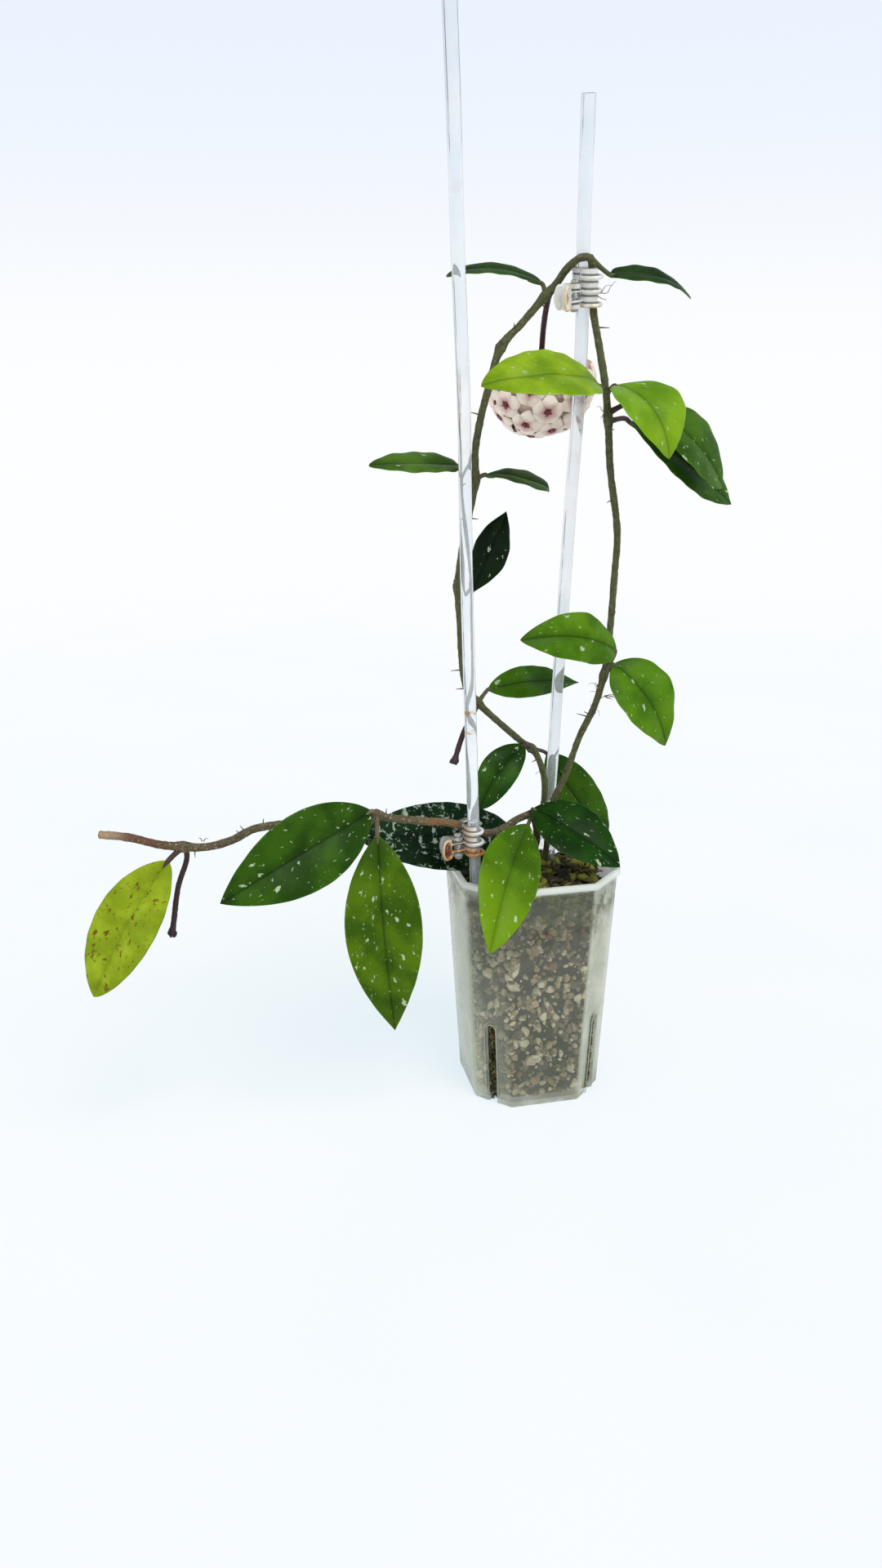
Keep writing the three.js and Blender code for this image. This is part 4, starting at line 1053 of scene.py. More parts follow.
def curlyRoot(shape, rng, start, aim, length, thick, curl):
    # one wiry root that wanders, kinks and thins out
    steps = 16
    heading = unit(aim)
    spot = np.array(start, float)
    path = [spot.copy()]
    twist = rng.normal(size=3)
    for _ in range(steps):
        twist = 0.7 * twist + 0.3 * rng.normal(size=3) * 2
        heading = unit(heading + np.cross(heading, twist) * 0.22 * curl)
        spot = spot + heading * length / steps
        path.append(spot.copy())
    shape.bar(np.array(path), thick * np.linspace(1, 0.3, steps + 1), 6, 1)


def solidStubs(shape, line, count, low, high, seed):
    # the short stubs that the solid stems carry, in the same places
    draw = seeded(seed)
    ahead = unit(np.gradient(line, axis=0))
    steps = np.linspace(0, 1, 7)[:, None]
    for _ in range(count):
        k = int((low + (high - low) * draw()) * (len(line) - 1))
        tangent = ahead[k]
        out = np.array([draw() - 0.5, draw() - 0.5, draw() - 0.5])
        out = unit(out - tangent * (out @ tangent))
        out = unit(out + tangent * 0.5 * (draw() - 0.5))
        length = 3.4 + 2.2 * draw()
        bend = np.array([draw() - 0.5, draw() - 0.5, -0.3])
        path = line[k] + out * length * steps + bend * steps ** 2 * 1.1
        shape.bar(path, np.linspace(0.42, 0.12, 7), 7, 1)


def vineRoots(shape, rng, roots):
    for place, aim, length, count in roots:
        for _ in range(count):
            curlyRoot(shape, rng, place, np.array(aim) + rng.normal(size=3) * 0.45,
                      length * rng.uniform(0.6, 1.2), 0.2, 1.4)


def branchRoots(shape, rng, roots):
    # short ones along the bare end, then a few that go down into the pot
    for x, z in roots:
        for _ in range(2):
            start = (x + rng.uniform(-1, 1), -21, z)
            aim = (rng.normal() * 0.4, -0.3, rng.choice((-1, 1)))
            curlyRoot(shape, rng, start, aim, rng.uniform(2.2, 4.2), 0.24, 0.8)
    for k in range(5):
        curlyRoot(shape, rng, (5, 10, 118), (1.0, -0.4 + 0.2 * k, -0.3), rng.uniform(5, 9),
                  0.2, 1.3)


def makeStems():
    rng = np.random.default_rng(3)
    for name, addRoots in (("vine", vineRoots), ("branch", branchRoots)):
        stem, shape = stems[name], Shape()
        line, radii = stemBar(shape, stem)
        hairs(shape, rng, line, radii, *stem["hairs"])
        solidStubs(shape, line, *stem["stubs"])
        addRoots(shape, rng, stem["roots"])
        shape.piece(stem["piece"], [bark[stem["bark"]], bark["rootBark"], bark["stemFuzz"]],
                    "stem", "vine_loop" if name == "vine" else "vine_branch")


makeStems()
print("stems done")


# The flower stalks: two bare ones with a knob of scars at the tip, and the umbel's own.
stalk = {
    "thick": 1.15, "foot": 0.5, "footShare": 0.05, "knob": 0.75, "knobShare": 0.06, "sides": 14,
    "scars": 9, "scarTurn": 2.4, "scarRadii": [0.5, 0.55, 0.5, 0.34],
    "lines": {
        "peduncle_branch": ("bareStalkBranch", [
            (-154, -19.5, 137), (-153.6, -17.5, 131), (-158, -19, 119), (-161, -21, 104),
            (-162, -21, 99)]),
        "peduncle_loop": ("bareStalkLoop", [
            (-26, -6, 187), (-30, -11, 182), (-34, -13, 176), (-39, -16, 164)]),
        "peduncle_umbel": ("umbelStalk", [
            (-0.2, -18.6, 352), (0.4, -13, 348), (1.4, -6, 342), (3.6, 4, 333),
            (6.2, 14, 321.1)])},
}


def makeStalks():
    rng = np.random.default_rng(8)
    for node, (name, points) in stalk["lines"].items():
        line, run = route(points, 0.9)
        share = run / run[-1]
        radii = (stalk["thick"] + stalk["knob"] * np.exp(-(((1 - share) / stalk["knobShare"]) ** 2))
                 + stalk["foot"] * np.exp(-((share / stalk["footShare"]) ** 2)))
        knobbly = rng.normal(size=(len(line), stalk["sides"]))
        rough = 1 + 0.06 * knobbly * (0.4 + share[:, None] ** 4 * 1.6)
        shape = Shape()
        shape.bar(line, radii[:, None] * rough, stalk["sides"])
        if node != "peduncle_umbel":
            ahead, side, other = alongRoute(line)
            for k in range(stalk["scars"]):
                turn = k * stalk["scarTurn"]
                out = side[-1] * math.cos(turn) + other[-1] * math.sin(turn)
                foot = line[-1] + out * 1.1 * (0.3 + 0.7 * (k % 3) / 2)
                path = foot + (ahead[-1] * 0.9 + out * 0.6) * np.linspace(0, 1, 4)[:, None]
                shape.bar(path, np.array(stalk["scarRadii"]), 7)
        shape.piece(name, [bark["darkStalk"]], "flower_stalk", node)


makeStalks()
print("flower stalks done")


# The leaves. For each: its joint on the stem, the two ends of its blade, its width, the way
# its upper side looks, how it is rounded at the base and drawn out at the tip, how far it
# arches up and bends sideways, how sharply it folds, and how much its edge waves.
leafKeys = ("foot", "base", "end", "width", "face", "taper", "arch", "bend", "fold", "wave")
leafShapes = {
    "leaf_yellow": ((-155, -20, 137), (-161.2, -22, 131.9), (-195.3, -28, 77.2), 27.5,
                    (-0.35, -0.86, 0.37), (0.69, 0.76), 2.8, -1.4, 0.12, 0),
    "leaf_branch_broad": ((-74, -22, 145), (-77, -27, 148.4), (-141.9, -52, 123.4), 32,
                          (0.04, -1.11, 0.26), (0.8, 0.92), 5.6, -0.9, 0.14, 0),
    "leaf_branch_hanging": ((-74, -22, 145), (-74.8, -27, 137.6), (-70.7, -36, 50.5), 32.8,
                            (-0.04, -1.01, 0.17), (0.85, 1.04), 4.5, -1.5, 0.12, 0),
    "leaf_splashed": ((-74, -22, 145), (-79.3, -10, 130.4), (-0.6, 18, 114), 32.4,
                      (-0.1, -0.81, 0.59), (0.66, 0.57), 2, 0.1, 0.1, 0),
    "leaf_front_bright": ((1, 3, 130), (-2.8, -6.5, 129.7), (-33.9, -58, 92.7), 27.7,
                          (0.34, -0.62, 0.71), (0.87, 0.89), 5.5, -3.9, 0.1, 0),
    "leaf_right_dark": ((3, 4.5, 130.8), (1.1, 0, 134.3), (35.5, -22, 111.3), 29.4,
                        (0.08, -0.61, 0.79), (0.68, 0.89), 4.9, -1.4, 0.1, 0),
    "leaf_rear": ((3, 11, 160), (16.8, 30, 151), (49.6, 34, 103.5), 25,
                  (0.1, -0.95, 0.3), (0.71, 0.82), 3.8, -2.4, 0.1, 0),
    "leaf_low_left": ((3, 11, 160), (-1.9, 5.5, 163.4), (-25.1, -6, 138.5), 16.7,
                      (-0.12, -0.94, 0.35), (0.71, 0.7), 3.5, -2.7, 0.1, 0),
    "leaf_long_left": ((-26, -6, 187), (-20.2, -1, 191.2), (32.6, 33, 184.1), 14.5,
                       (0.12, -0.91, 0.42), (0.75, 1.13), 1.4, 2, 0.1, 0),
    "leaf_waved": ((32, -3, 195), (34.8, -9, 207.1), (-11.5, -22, 216.2), 21.1,
                   (0.22, -1, 0.34), (0.56, 0.75), 5.5, -2.9, 0.05, 0.9),
    "leaf_side_right": ((32.4, -2.5, 194.2), (36.8, -2, 199.7), (60.4, -8, 162.4), 30.1,
                        (0.14, -0.84, 0.53), (0.57, 0.89), 4.9, 2.1, 0.1, 0.5),
    "leaf_lime_left": ((22.2, -22.4, 314.5), (18, -27.5, 316.4), (-34.6, -46, 316.5), 28,
                       (0.02, -0.62, 0.79), (0.75, 0.73), 9, 5.8, 0.1, 0),
    "leaf_lime_right": ((22.9, -21.7, 313.7), (24.6, -25.6, 316.6), (40.6, -46, 289.2), 31.6,
                        (0.21, -0.74, 0.76), (0.75, 0.85), 9, -1.2, 0.12, 0),
    "leaf_outer_right": ((23.4, -21.3, 306), (32.2, -23, 310), (73.3, -24, 276), 28.5,
                         (0.33, -0.75, 0.58), (1.09, 0.84), 6.5, 0.9, 0.1, 0),
    "leaf_outer_under": ((24, -21, 303), (34.6, -13, 303.8), (84.5, -10, 268.2), 22.5,
                         (0.31, -0.82, 0.47), (1.3, 0.97), 2.9, -0.7, 0.1, 0),
    "leaf_top_left": ((-1.8, -17.5, 350.1), (-2.2, -14, 354.7), (-38.1, -4, 358), 16.9,
                      (0.04, -0.31, 0.95), (0.45, 0.45), 3.6, 0.1, 0.1, 0),
    "leaf_top_right": ((12.1, -28.8, 362.6), (22.2, -25, 356.9), (58.1, -18, 349.5), 13.9,
                       (0.1, -0.49, 0.87), (0.4, 0.65), 5, -2.4, 0.1, 0),
    "leaf_thin_left": ((-29, -13, 281), (-35.7, -13, 286.4), (-72.5, -16, 287.4), 19.5,
                       (0.01, -0.36, 0.93), (0.46, 0.62), 2.6, 4.2, 0.1, 0),
    "leaf_thin_right": ((-29, -13, 281), (-25, -14, 282.9), (0.2, -20, 276.4), 19.7,
                        (0.01, -0.24, 0.97), (0.91, 0.45), 2.7, -2.3, 0.1, 0),
    "leaf_upright_dark": ((-36, -12, 238), (-30, -10, 234.7), (-12.8, -2, 267.1), 16.5,
                          (0.27, -0.95, 0.14), (1.14, 1.13), 1.8, 0.4, 0.1, 0),
}

# The leaves' colours: deep and light are the two greens of the blade, tip the colour it turns
# to, under the colour of its back; the rest are amounts. On the front bright leaf, tip and glow
# are painted light shining through the blade from behind. plainLeaf fills in what isn't given.
plainLeaf = {"stalk": "Green", "stalkSize": 1.0, "fleck": (160, 176, 144), "under": (84, 110, 40),
             "splash": 0.0, "glow": 0.0, "rib": 0.8}
leafLooks = {
    "leaf_yellow": {"stalk": "Dark", "stalkSize": 1.25, "deep": (112, 132, 14),
                    "light": (142, 162, 30), "fleck": (96, 56, 14), "flecks": 1.3,
                    "splash": 0.7, "edge": (60, 92, 4), "under": (112, 120, 30), "rib": 0.3},
    "leaf_branch_broad": {"stalk": "Brown", "deep": (26, 56, 0), "light": (44, 80, 2),
                          "flecks": 0.55},
    "leaf_branch_hanging": {"stalk": "Brown", "deep": (46, 76, 0), "light": (72, 102, 2),
                            "flecks": 0.72},
    "leaf_splashed": {"stalk": "Brown", "deep": (4, 26, 6), "light": (10, 40, 12), "flecks": 0.9,
                      "splash": 1.0, "fleck": (150, 166, 150)},
    # painted light: this leaf's tip colour and glow stand for light shining through it from behind
    "leaf_front_bright": {"deep": (50, 84, 0), "light": (72, 110, 2), "tip": (99, 135, 0),
                          "glow": 0.95, "flecks": 0.6, "rib": 0.5},
    "leaf_right_dark": {"deep": (8, 38, 0), "light": (20, 57, 0), "flecks": 0.62},
    "leaf_rear": {"stalk": "Dark", "deep": (32, 66, 0), "light": (52, 90, 2), "flecks": 0.42},
    "leaf_low_left": {"stalk": "Dark", "deep": (20, 52, 0), "light": (38, 74, 6), "flecks": 0.6},
    "leaf_long_left": {"deep": (40, 80, 0), "light": (61, 104, 4), "flecks": 0.12},
    "leaf_waved": {"deep": (54, 94, 0), "light": (80, 121, 4), "flecks": 0.3},
    "leaf_side_right": {"deep": (52, 92, 0), "light": (74, 116, 6), "tip": (84, 124, 8),
                        "glow": 0.5, "flecks": 0.3},
    "leaf_lime_left": {"deep": (96, 130, 8), "light": (130, 158, 28), "flecks": 0.2, "rib": 0.6},
    "leaf_lime_right": {"deep": (80, 122, 10), "light": (106, 146, 24), "tip": (120, 154, 14),
                        "glow": 0.6, "flecks": 0.35, "rib": 0.6},
    "leaf_outer_right": {"stalk": "Dark", "stalkSize": 1.15, "deep": (38, 72, 4),
                         "light": (60, 96, 14), "flecks": 0.6},
    "leaf_outer_under": {"stalk": "Dark", "stalkSize": 1.15, "deep": (34, 70, 6),
                         "light": (52, 92, 14), "flecks": 0.4},
    "leaf_top_left": {"deep": (24, 50, 8), "light": (42, 70, 18), "flecks": 0.1},
    "leaf_top_right": {"deep": (14, 40, 4), "light": (30, 60, 14), "flecks": 0.1},
    "leaf_thin_left": {"deep": (44, 76, 12), "light": (68, 102, 24), "flecks": 0.1},
    "leaf_thin_right": {"deep": (38, 66, 20), "light": (58, 86, 34), "flecks": 0.1},
    "leaf_upright_dark": {"deep": (0, 18, 0), "light": (10, 32, 4), "flecks": 0.35},
}
leafSlots = {"leaf_yellow": "leaf_yellow", "leaf_lime_left": "leaf_lime",
             "leaf_lime_right": "leaf_lime"}
blade = {"thick": 1.0, "rows": 54, "groove": 0.24, "puff": 0.5, "swell": 0.32, "veinDepth": 0.07,
         "ridge": 0.55, "apart": 37.0}
halfSection = np.array([0.985, 0.95, 0.88, 0.78, 0.66, 0.54, 0.42, 0.31, 0.21, 0.13, 0.07, 0.025])


def acrossSection(half):
    # shares of a width that go over the upper side to one edge and back under to the other
    return np.concatenate([[1.0], half, [0.0], -half[::-1], [-1.0], -half, [0.0], half[::-1]])


def hump(x, width):
    return np.exp(-((x / width) ** 2))


def leafMaterial(name, look):
    brighter = tuple(min(255, c * 1.2 + 10) for c in look["light"])
    look = {**plainLeaf, "tip": look["light"], "edge": brighter, **look}

    def draw(n):
        return surface(n.effect(leafMarks, look, Place=n.mark("leafPlace"),
                                Shares=n.mark("leafShares")))
    return makeMaterial(name, draw, {
        "Subsurface Weight": 0.1, "Subsurface Radius": (0.0008, 0.0014, 0.0004),
        "Subsurface Scale": 1.0, "Specular IOR Level": 0.09}, (0.35, 0.0003))


def leafFrame(leaf):
    base, end = np.array(leaf["base"], float), np.array(leaf["end"], float)
    length = np.linalg.norm(end - base)
    forward = (end - base) / length
    face = np.array(leaf["face"], float)
    face = unit(face - forward * (face @ forward))
    return base, length, forward, face, np.cross(face, forward)


def leafMiddle(leaf, along, side, seed):
    # the blade's middle surface, and half its width, at shares of its length and width
    base, length, forward, face, across = leafFrame(leaf)
    rise, fall = leaf["taper"]
    widest = (rise / (rise + fall)) ** rise * (fall / (rise + fall)) ** fall
    half = leaf["width"] / 2 * np.maximum(along, 0) ** rise * np.maximum(1 - along, 0) ** fall
    half = 0.12 + half / widest
    arc = 4 * along * (1 - along)
    x = half * side
    phase = 5 * math.pi * along + np.where(side > 0, 0, math.pi / 2)
    lift = (leaf["arch"] * arc + leaf["fold"] * (np.sqrt(x * x + 0.8) - 0.894)
            + leaf["wave"] * np.sin(phase) * side ** 2)
    lift = lift + blade["puff"] * np.sin(math.pi * np.abs(side)) * smooth(2, 9, half)
    lift = lift + blade["swell"] * ripples(x, along * length, seed, 26) * smooth(0, 0.15, arc)
    lift = lift + 0.22 * np.sin(along * length * 0.7 + seed) * side ** 4 * smooth(2, 6, half)
    place = (base + (length * along)[..., None] * forward + lift[..., None] * face
             + (leaf["bend"] * arc + x)[..., None] * across)
    return place, half, face, length


def makeLeaf(name, index):
    leaf, look = dict(zip(leafKeys, leafShapes[name])), {**plainLeaf, **leafLooks[name]}
    title = "".join(word.capitalize() for word in name.split("_")[1:])
    seed, offset = 60 + index, blade["apart"] * index
    t = np.linspace(0, 1, blade["rows"])
    along = 0.35 * t + 0.65 * (1 - np.cos(math.pi * t)) / 2
    skin = np.concatenate([[0.5], np.ones(25), [0.5], np.zeros(25)])
    s, u = np.meshgrid(along, acrossSection(halfSection), indexing="ij")
    middle, half, face, length = leafMiddle(leaf, s, u, seed)
    x = half * u
    body = (0.5 * blade["thick"] * np.sqrt(np.maximum(1 - np.abs(u) ** 5, 0))
            * (0.55 + 0.45 * smooth(0, 4, half)))
    step = (s * length - veins["slant"] * np.abs(x)) / veins["step"]
    raised = hump((step - np.round(step)) * veins["step"], 0.8)
    raised = raised * smooth(1.0, 0.6, np.abs(u)) * smooth(2, 6, half)
    groove = blade["groove"] * (hump(x, 0.62) * smooth(0, 3, half))
    topSide = body - groove - blade["veinDepth"] * raised
    underSide = -body - blade["ridge"] * hump(x, 0.8) * smooth(1.0, 0.1, s) * smooth(0, 3, half)
    lift = np.where(skin[None] == 1, topSide, np.where(skin[None] == 0, underSide, 0.0))
    verts, faces = closedLoft(middle + lift[..., None] * face)
    verts[-1] += 0.25 * leafFrame(leaf)[2]
    place = np.stack([x, s * length, np.full_like(x, offset)], 2).reshape(-1, 3)
    shares = np.stack([u, s, np.broadcast_to(skin[None], s.shape)], 2).reshape(-1, 3)
    shape = Shape()
    shape.add(verts, faces, 0, leafShares=np.concatenate([shares, [[0, 0, 1], [0, 1, 1]]]),
              leafPlace=np.concatenate([place, [[0, 0, offset], [0, length, offset]]]))

    # the stalk runs from the stem to the blade and sinks in along its underside
    under = [leafMiddle(leaf, np.array([at]), np.array([0.0]), seed)[0][0] - face * deep
             for at, deep in ((0.04, 0.45), (0.09, 0.95), (0.15, 1.05))]
    line, run = route([leaf["foot"], leaf["base"]] + under, 0.7)
    reach = np.linalg.norm(np.array(leaf["base"]) - np.array(leaf["foot"]))
    radii = (1.2 - 0.3 * smooth(0, reach * 0.6, run) - 0.5 * smooth(reach, run[-1], run)
             + 0.4 * hump(run / run[-1], 0.06)) * look["stalkSize"]
    shape.bar(line, radii, 12, 1)
    shape.piece("leaf" + title, [leafMaterial("blade" + title, leafLooks[name]),
                                 bark["leafStalk" + look["stalk"]]],
                leafSlots.get(name, "leaf_green"), name)


for leafIndex, leafName in enumerate(leafShapes):
    makeLeaf(leafName, leafIndex)
print("leaves done")


# The umbel: furry flowers of five petals with dark red crowns, all round a closed ball of
# petal backs. Its amounts are millimetres, highest the share of the radius it reaches up to.
umbel = {
    "centre": (6.2, 14, 319.3), "radius": 22.3, "count": 26, "highest": 0.12, "petal": 5.9,
    "hub": 2.2, "bowl": 20.4, "downCount": 120, "downThick": [0.06, 0.02],
    "deep": (208, 162, 150), "light": (248, 228, 212), "maroon": (104, 10, 24),
    "rim": (190, 96, 92), "down": [(240, 214, 212), (252, 240, 238)],
    "stalk": [(176, 120, 112), (208, 172, 150)],
    "ray": [(0.1, 0.9), (0.4, 0.95), (0.8, 0.85), (1.2, 0.95), (1.5, 1.1)],
    "rayRadii": [0.5, 0.6, 0.54, 0.38, 0.12],
    "dome": [(0, 0, 0.3), (0, 0, 0.8), (0, 0, 1.2), (0, 0, 1.5)],
    "domeRadii": [0.7, 0.65, 0.5, 0.3],
}


def petalPart(turn):
    # one velvety petal: a pointed lobe that arches out and turns its edges and tip down
    skin = np.concatenate([[0], np.ones(7), [0], -np.ones(7)])
    s, u = np.meshgrid(np.linspace(0, 1, 9), acrossSection(np.array([0.9, 0.6, 0.3])),
                       indexing="ij")
    half = 0.12 + 3.7 * np.sin(math.pi * np.clip(0.2 + 0.8 * s, 0, 1)) ** 0.7
    height = 0.75 * np.sin(math.pi * s * 0.8) - 2.1 * smooth(0.45, 1.1, s) - 0.6 * u ** 2 * s
    height = height + skin[None] * 0.3 * np.sqrt(np.maximum(1 - u ** 4, 0))
    x, y = 0.8 + (umbel["petal"] + 0.5) * s, half * u
    verts, faces = closedLoft(np.stack([x * math.cos(turn) - y * math.sin(turn),
                                        x * math.sin(turn) + y * math.cos(turn), height], 2))
    tone = np.stack([s, np.abs(u), np.zeros_like(s)], 2).reshape(-1, 3)
    return verts, faces, 0, np.concatenate([tone, [[0, 0, 0], [1, 0, 0]]])


def rayPart(turn):
    out, up = np.array(umbel["ray"]).T
    path = np.column_stack([out * math.cos(turn), out * math.sin(turn), up])
    verts, faces, _ = tube(path * (1.25, 1.25, 1), np.array(umbel["rayRadii"]), 8)
    away = np.clip(np.linalg.norm(verts[:, :2], axis=1) / 3.0, 0, 1)
    return verts, faces, 1, np.column_stack([away, away * 0, away * 0])


def floret(rng):
    # petals, a five-rayed crown with a raised middle, and fine velvet hairs
    parts = [petalPart(math.tau * k / 5) for k in range(5)]
    parts += [rayPart(math.tau * (k + 0.5) / 5) for k in range(5)]
    verts, faces, _ = tube(np.array(umbel["dome"]), np.array(umbel["domeRadii"]), 10)
    parts.append((verts, faces, 1, 0))
    count = umbel["downCount"]
    turn = rng.uniform(0, math.tau, count)
    out = np.sqrt(rng.uniform(0.1, 1, count)) * 6.0
    base = np.column_stack([out * np.cos(turn), out * np.sin(turn),
                            0.5 - 1.5 * smooth(3.2, 6, out)])
    aim = unit(np.column_stack([0.35 * np.cos(turn), 0.35 * np.sin(turn), np.ones(count)])
               + rng.normal(size=(count, 3)) * 0.35)
    paths = np.stack([base, base + aim * rng.uniform(0.5, 0.95, (count, 1))], 1)
    verts, faces, _ = manyTubes(paths, np.array(umbel["downThick"]), 3)
    return parts + [(verts, faces, 2, 0.9)]


def umbelBowl(centre):
    # the furry backs of the petals close the head up from inside
    rings, turn = [], around(60)
    tilts = np.linspace(-1.5, 0.12, 22)
    for radius, order in ((umbel["bowl"], tilts), (umbel["bowl"] - 1, np.linspace(0.12, -1.5, 22))):
        for tilt in order:
            swollen = radius + 0.35 * np.sin(turn * 9 + tilt * 14) * math.cos(tilt)
            rings.append(np.column_stack([swollen * math.cos(tilt) * np.cos(turn),
                                          swollen * math.cos(tilt) * np.sin(turn),
                                          swollen * math.sin(tilt)]) + centre)
    return closedLoft(rings)


def drawPetal(n):
    share, side, _ = n.split(n.mark("petalShare"))
    place = n.place()
    cloud, fur = n.noise(place, 0.35, 3), n.noise(place, 3.2, 3, 0.7)
    colour = n.mix(n.fade(share + cloud * 0.5, 0.25, 0.95), umbel["deep"], umbel["light"])
    colour = n.mix(n.fade(share, 0.88, 1.0, 0, 0.2), colour, umbel["rim"])
    colour = n.mix(n.fade(side, 0.8, 1.0, 0, 0.06), colour, umbel["rim"])
    return {"Base Color": colour, "Height": fur, "Roughness": uneven(n, fur, 0.7, 0.9)}


def drawCrown(n):
    share = n.split(n.mark("petalShare"))[0]
    grain = n.noise(n.place(), 1.8, 2)
    colour = n.mix(n.fade(share + grain * 0.2, 0.45, 1.1), umbel["maroon"], umbel["rim"])
    return {"Base Color": colour, "Height": grain, "Roughness": uneven(n, grain, 0.28, 0.42)}


def drawDown(n):
    return {"Base Color": n.mix(n.noise(n.place(), 0.8), *umbel["down"]),
            "Roughness": uneven(n, n.noise(n.place(), 2.0), 0.75, 0.9)}


def drawFloretStalk(n):
    share = n.fade(n.noise(n.place(), 0.5, 2), 0.35, 0.65)
    return {"Base Color": n.mix(share, *umbel["stalk"]),
            "Roughness": uneven(n, n.noise(n.place(), 2.0), 0.6, 0.8)}


def makeUmbel():
    rng, draw, shape = np.random.default_rng(77), seeded(41), Shape()
    centre = np.array(umbel["centre"])
    ball, faces = roundBall(3)
    shape.add(centre + ball * umbel["hub"], [faces], 3, petalShare=0)
    shape.add(*umbelBowl(centre), petalShare=(0.75, 0.3, 0))
    for k in range(umbel["count"]):
        z = umbel["highest"] - (umbel["highest"] + 1) * (k + 0.5) / umbel["count"]
        turn, flat = k * math.pi * (3 - math.sqrt(5)), math.sqrt(1 - z * z)
        outward = Vector((flat * math.cos(turn), flat * math.sin(turn), z))
        aim = Vector((0, 0, 1)).rotation_difference(outward).to_matrix()
        spin = np.array(aim @ Matrix.Rotation(2 * draw(), 3, "Z"))
        reach = umbel["radius"] + draw() - 0.5
        for verts, faces, slot, tone in floret(rng):
            lifted = verts + np.array([0, 0, reach])
            shape.add(lifted @ spin.T + centre, faces, slot, petalShare=tone)
        sag = rng.normal(size=3) * 0.8
        steps = np.linspace(0, 1, 8)[:, None]
        path = centre + np.array(outward) * reach * steps + sag * np.sin(math.pi * steps)
        verts, faces, _ = tube(path, np.linspace(0.5, 0.62, 8), 7)
        shape.add(verts, faces, 3, petalShare=0.5)
    velvet = {"Subsurface Weight": 0.25, "Subsurface Radius": (0.0015, 0.0008, 0.0007),
              "Subsurface Scale": 1.0, "Sheen Weight": 0.35, "Sheen Roughness": 0.4}
    shape.piece("flowerUmbel", [
        makeMaterial("petalVelvet", drawPetal, velvet, (0.35, 0.0003)),
        makeMaterial("flowerCrown", drawCrown, {"Coat Weight": 0.2}, (0.3, 0.0003)),
        makeMaterial("petalDown", drawDown, {"Sheen Weight": 0.3}),
        makeMaterial("floretStalk", drawFloretStalk)], "petal", "umbel")


makeUmbel()
print("umbel done")


# The clips: two ribbed jaws on a hinge, each with a finger pad, a pin and a coil spring. The
# lower one has an amber front jaw, the upper one a clear one that is stained.
clip = {
    "tall": 15, "mid": 3.7, "wall": 1.2, "depth": 4.7, "meet": 2.35, "pitch": 5,
    "ribLow": 0.3, "ribHigh": 1.75, "padFrom": 4.0, "padTo": 8.2, "padTall": 9.6,
    "padThick": 1.4, "padRim": 1.0, "dish": 0.7, "padTurn": {False: 150, True: 162},
    "hinge": (-6.9, 2.35), "knuckle": 2.1, "bore": 1.2, "pin": 0.85, "pinHead": 1.6,
    "pinTop": 9.9, "coil": 1.55, "wire": 0.3,
    "clear": (250, 250, 246), "milk": (234, 236, 230), "grime": (206, 178, 132),
    "stain": 0.35, "base": 0.06, "wear": 0.1, "gap": (70, 72, 66), "rimGlow": (240, 212, 168),
}
clips = {
    "clip_lower": {
        "title": "clipLower", "at": (-30, -16.2, 121), "along": (-1.4, -1.2, 31), "turn": 0.26,
        "front": "amber_clip", "padTo": 9.3, "rearClear": 0.85, "amber": (204, 136, 58),
        "amberTop": 4.2, "amberLeft": -3.0, "spot": (92, 40, 8), "spotSize": 0.95,
        "spotBack": 0.0, "brown": 0.0},
    "clip_upper": {
        "title": "clipUpper", "at": (14.9, -23.4, 345.5), "along": (-2.5, -7, 31), "turn": 0.5,
        "front": "clear_clip", "padTo": 9.0, "rearClear": 0.4, "amber": (232, 186, 104),
        "amberTop": 0.9, "amberLeft": -20, "spot": (142, 70, 18), "spotSize": 0.62,
        "spotBack": 0.95, "brown": 0.8},
}
knuckles = {False: [(0, 2.2), (7.4, 9.6)], True: [(2.5, 3.4), (6.2, 7.1)]}


def clipFrame(which):
    lean = Vector((0, 0, 1)).rotation_difference(Vector(which["along"]).normalized())
    return (Matrix.Translation(which["at"]) @ lean.to_matrix().to_4x4()
            @ Matrix.Rotation(which["turn"], 4, "Z"))


def bandPath(front):
    # the middle line of a jaw's ribs round rod and stem, from the hinge side to the open side
    mid, depth, meet = clip["mid"], clip["depth"], clip["meet"]
    arc = np.linspace(0, math.pi, 15)
    if front:
        bend = [(-mid * math.cos(a), -mid * math.sin(a)) for a in arc]
        return np.array([(-mid, meet - 0.6), (-mid, meet / 2)] + bend
                        + [(mid, 1.5), (mid, 3.0), (mid, depth - 0.3)])
    bend = [(-mid * math.cos(a), depth + mid * math.sin(a)) for a in arc]
    return np.array([(-mid, meet + 0.6)] + bend + [(mid, 3.2), (mid, 1.6), (mid, 0.3)])


